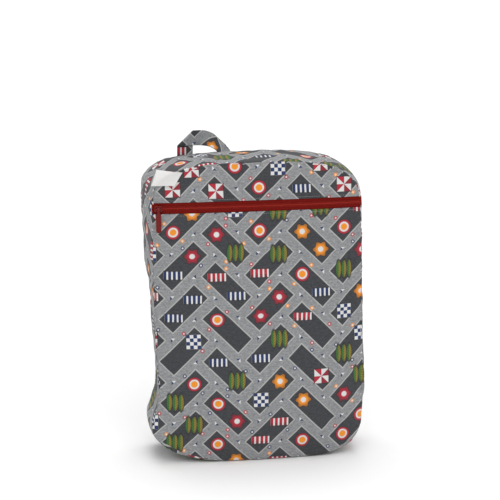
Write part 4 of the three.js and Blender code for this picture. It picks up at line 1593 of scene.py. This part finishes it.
def build_studio():
    """A pale floor, soft lights from above and in front, and the camera."""
    studio, scene = bpy.context.scene.wetbag_studio, bpy.context.scene
    side = studio.floor_side / 2
    mesh = bpy.data.meshes.new("floor")
    mesh.from_pydata([(-side, -side, 0), (side, -side, 0), (side, side, 0), (-side, side, 0)], [], [(0, 1, 2, 3)])
    mesh.materials.append(new_material("studio floor", FLOOR_FINISH)[0])
    floor = bpy.data.objects.new("floor", mesh)
    floor.location.z = -FLOOR_SINK
    scene.collection.objects.link(floor)

    lens = bpy.data.cameras.new("camera")
    lens.lens = studio.lens
    lens.sensor_width = CAMERA_SENSOR
    lens.clip_end = CAMERA_REACH
    camera = bpy.data.objects.new("camera", lens)
    scene.collection.objects.link(camera)
    round_bag, over_bag = studio.azimuth, studio.elevation
    flat = math.cos(over_bag)
    back = Vector((math.sin(round_bag) * flat, -math.cos(round_bag) * flat, math.sin(over_bag)))
    place = Vector((0, 0, studio.middle)) + back * studio.distance
    aim(camera, place, Vector((studio.side_aim, 0, studio.middle + studio.raise_aim)))
    scene.camera = camera

    # The camera sees a white sky, which lights the bag less brightly than that
    world = bpy.data.worlds.new("studio")
    scene.world = world
    world.use_nodes = True
    sky = Nodes(world.node_tree)
    background = world.node_tree.nodes["Background"]
    background.inputs["Color"].default_value = (1, 1, 1, 1)
    seen = Value(sky, sky.add("ShaderNodeLightPath").outputs["Is Camera Ray"])
    sky.feed(background.inputs["Strength"], sky.choose(seen, SKY_LIGHT, 1.0))
    scene.view_settings.view_transform = "Standard"

    for name, place, width, power in LIGHTS:
        sun = bpy.data.lights.new(name, "SUN")
        sun.angle = math.radians(width)
        sun.energy = power
        light = bpy.data.objects.new(name, sun)
        aim(light, Vector(place), LIGHTS_AIM)
        scene.collection.objects.link(light)


# Operators


STEPS = (
    ("studio", "Studio", "Makes the floor, the lights and the camera", build_studio),
    ("cloth_body", "Cloth body", "Makes the two front sheets, the back and the gusset", build_cloth_body),
    ("tapes", "Zipper tapes", "Makes the two woven tapes of the zipper", build_tapes),
    ("teeth", "Zipper teeth", "Makes the coil that closes the zipper", build_teeth),
    ("stitches", "Stitches", "Makes the stitches along the zipper", build_stitches),
    ("slider", "Slider", "Makes the zipper's slider with its bridge", build_slider),
    ("pull", "Pull", "Makes the pull that hangs from the slider's bridge", build_pull),
    ("strap", "Strap", "Makes the folded hanging loop", build_strap),
    ("label", "Label", "Makes the blank tag", build_label),
)


def step_operator(name, label, words, build):
    """An operator that makes one part of the scene."""

    def execute(self, context):
        build()
        return {"FINISHED"}

    values = {"bl_idname": "wetbag." + name, "bl_label": label, "bl_description": words, "execute": execute}
    return type("WETBAG_OT_" + name, (bpy.types.Operator,), values)


OPERATORS = tuple(step_operator(*step) for step in STEPS)


class WETBAG_PT_sidebar(bpy.types.Panel):
    """Lists the bag's pieces and sizes"""

    bl_idname = "WETBAG_PT_sidebar"
    bl_label = "Wet bag"
    bl_space_type = "VIEW_3D"
    bl_region_type = "UI"
    bl_category = "Wet bag"

    def draw(self, context):
        for operator in OPERATORS:
            self.layout.operator(operator.bl_idname)
        for name in GROUPS:
            box = self.layout.box()
            group = getattr(context.scene, name)
            for field in group.__annotations__:
                box.prop(group, field)


GROUPS = {
    "wetbag_body": BodySizes,
    "wetbag_cloth": ClothSizes,
    "wetbag_colours": ClothColours,
    "wetbag_zipper": ZipperSizes,
    "wetbag_studio": StudioSizes,
}


def register():
    for group in (*GROUPS.values(), *OPERATORS, WETBAG_PT_sidebar):
        bpy.utils.register_class(group)
    for name, group in GROUPS.items():
        setattr(bpy.types.Scene, name, PointerProperty(type=group))


def unregister():
    for name in GROUPS:
        delattr(bpy.types.Scene, name)
    for group in (WETBAG_PT_sidebar, *OPERATORS[::-1], *list(GROUPS.values())[::-1]):
        bpy.utils.unregister_class(group)


def main():
    register()
    for name, *_ in STEPS:
        getattr(bpy.ops.wetbag, name)()


if __name__ == "__main__":
    main()
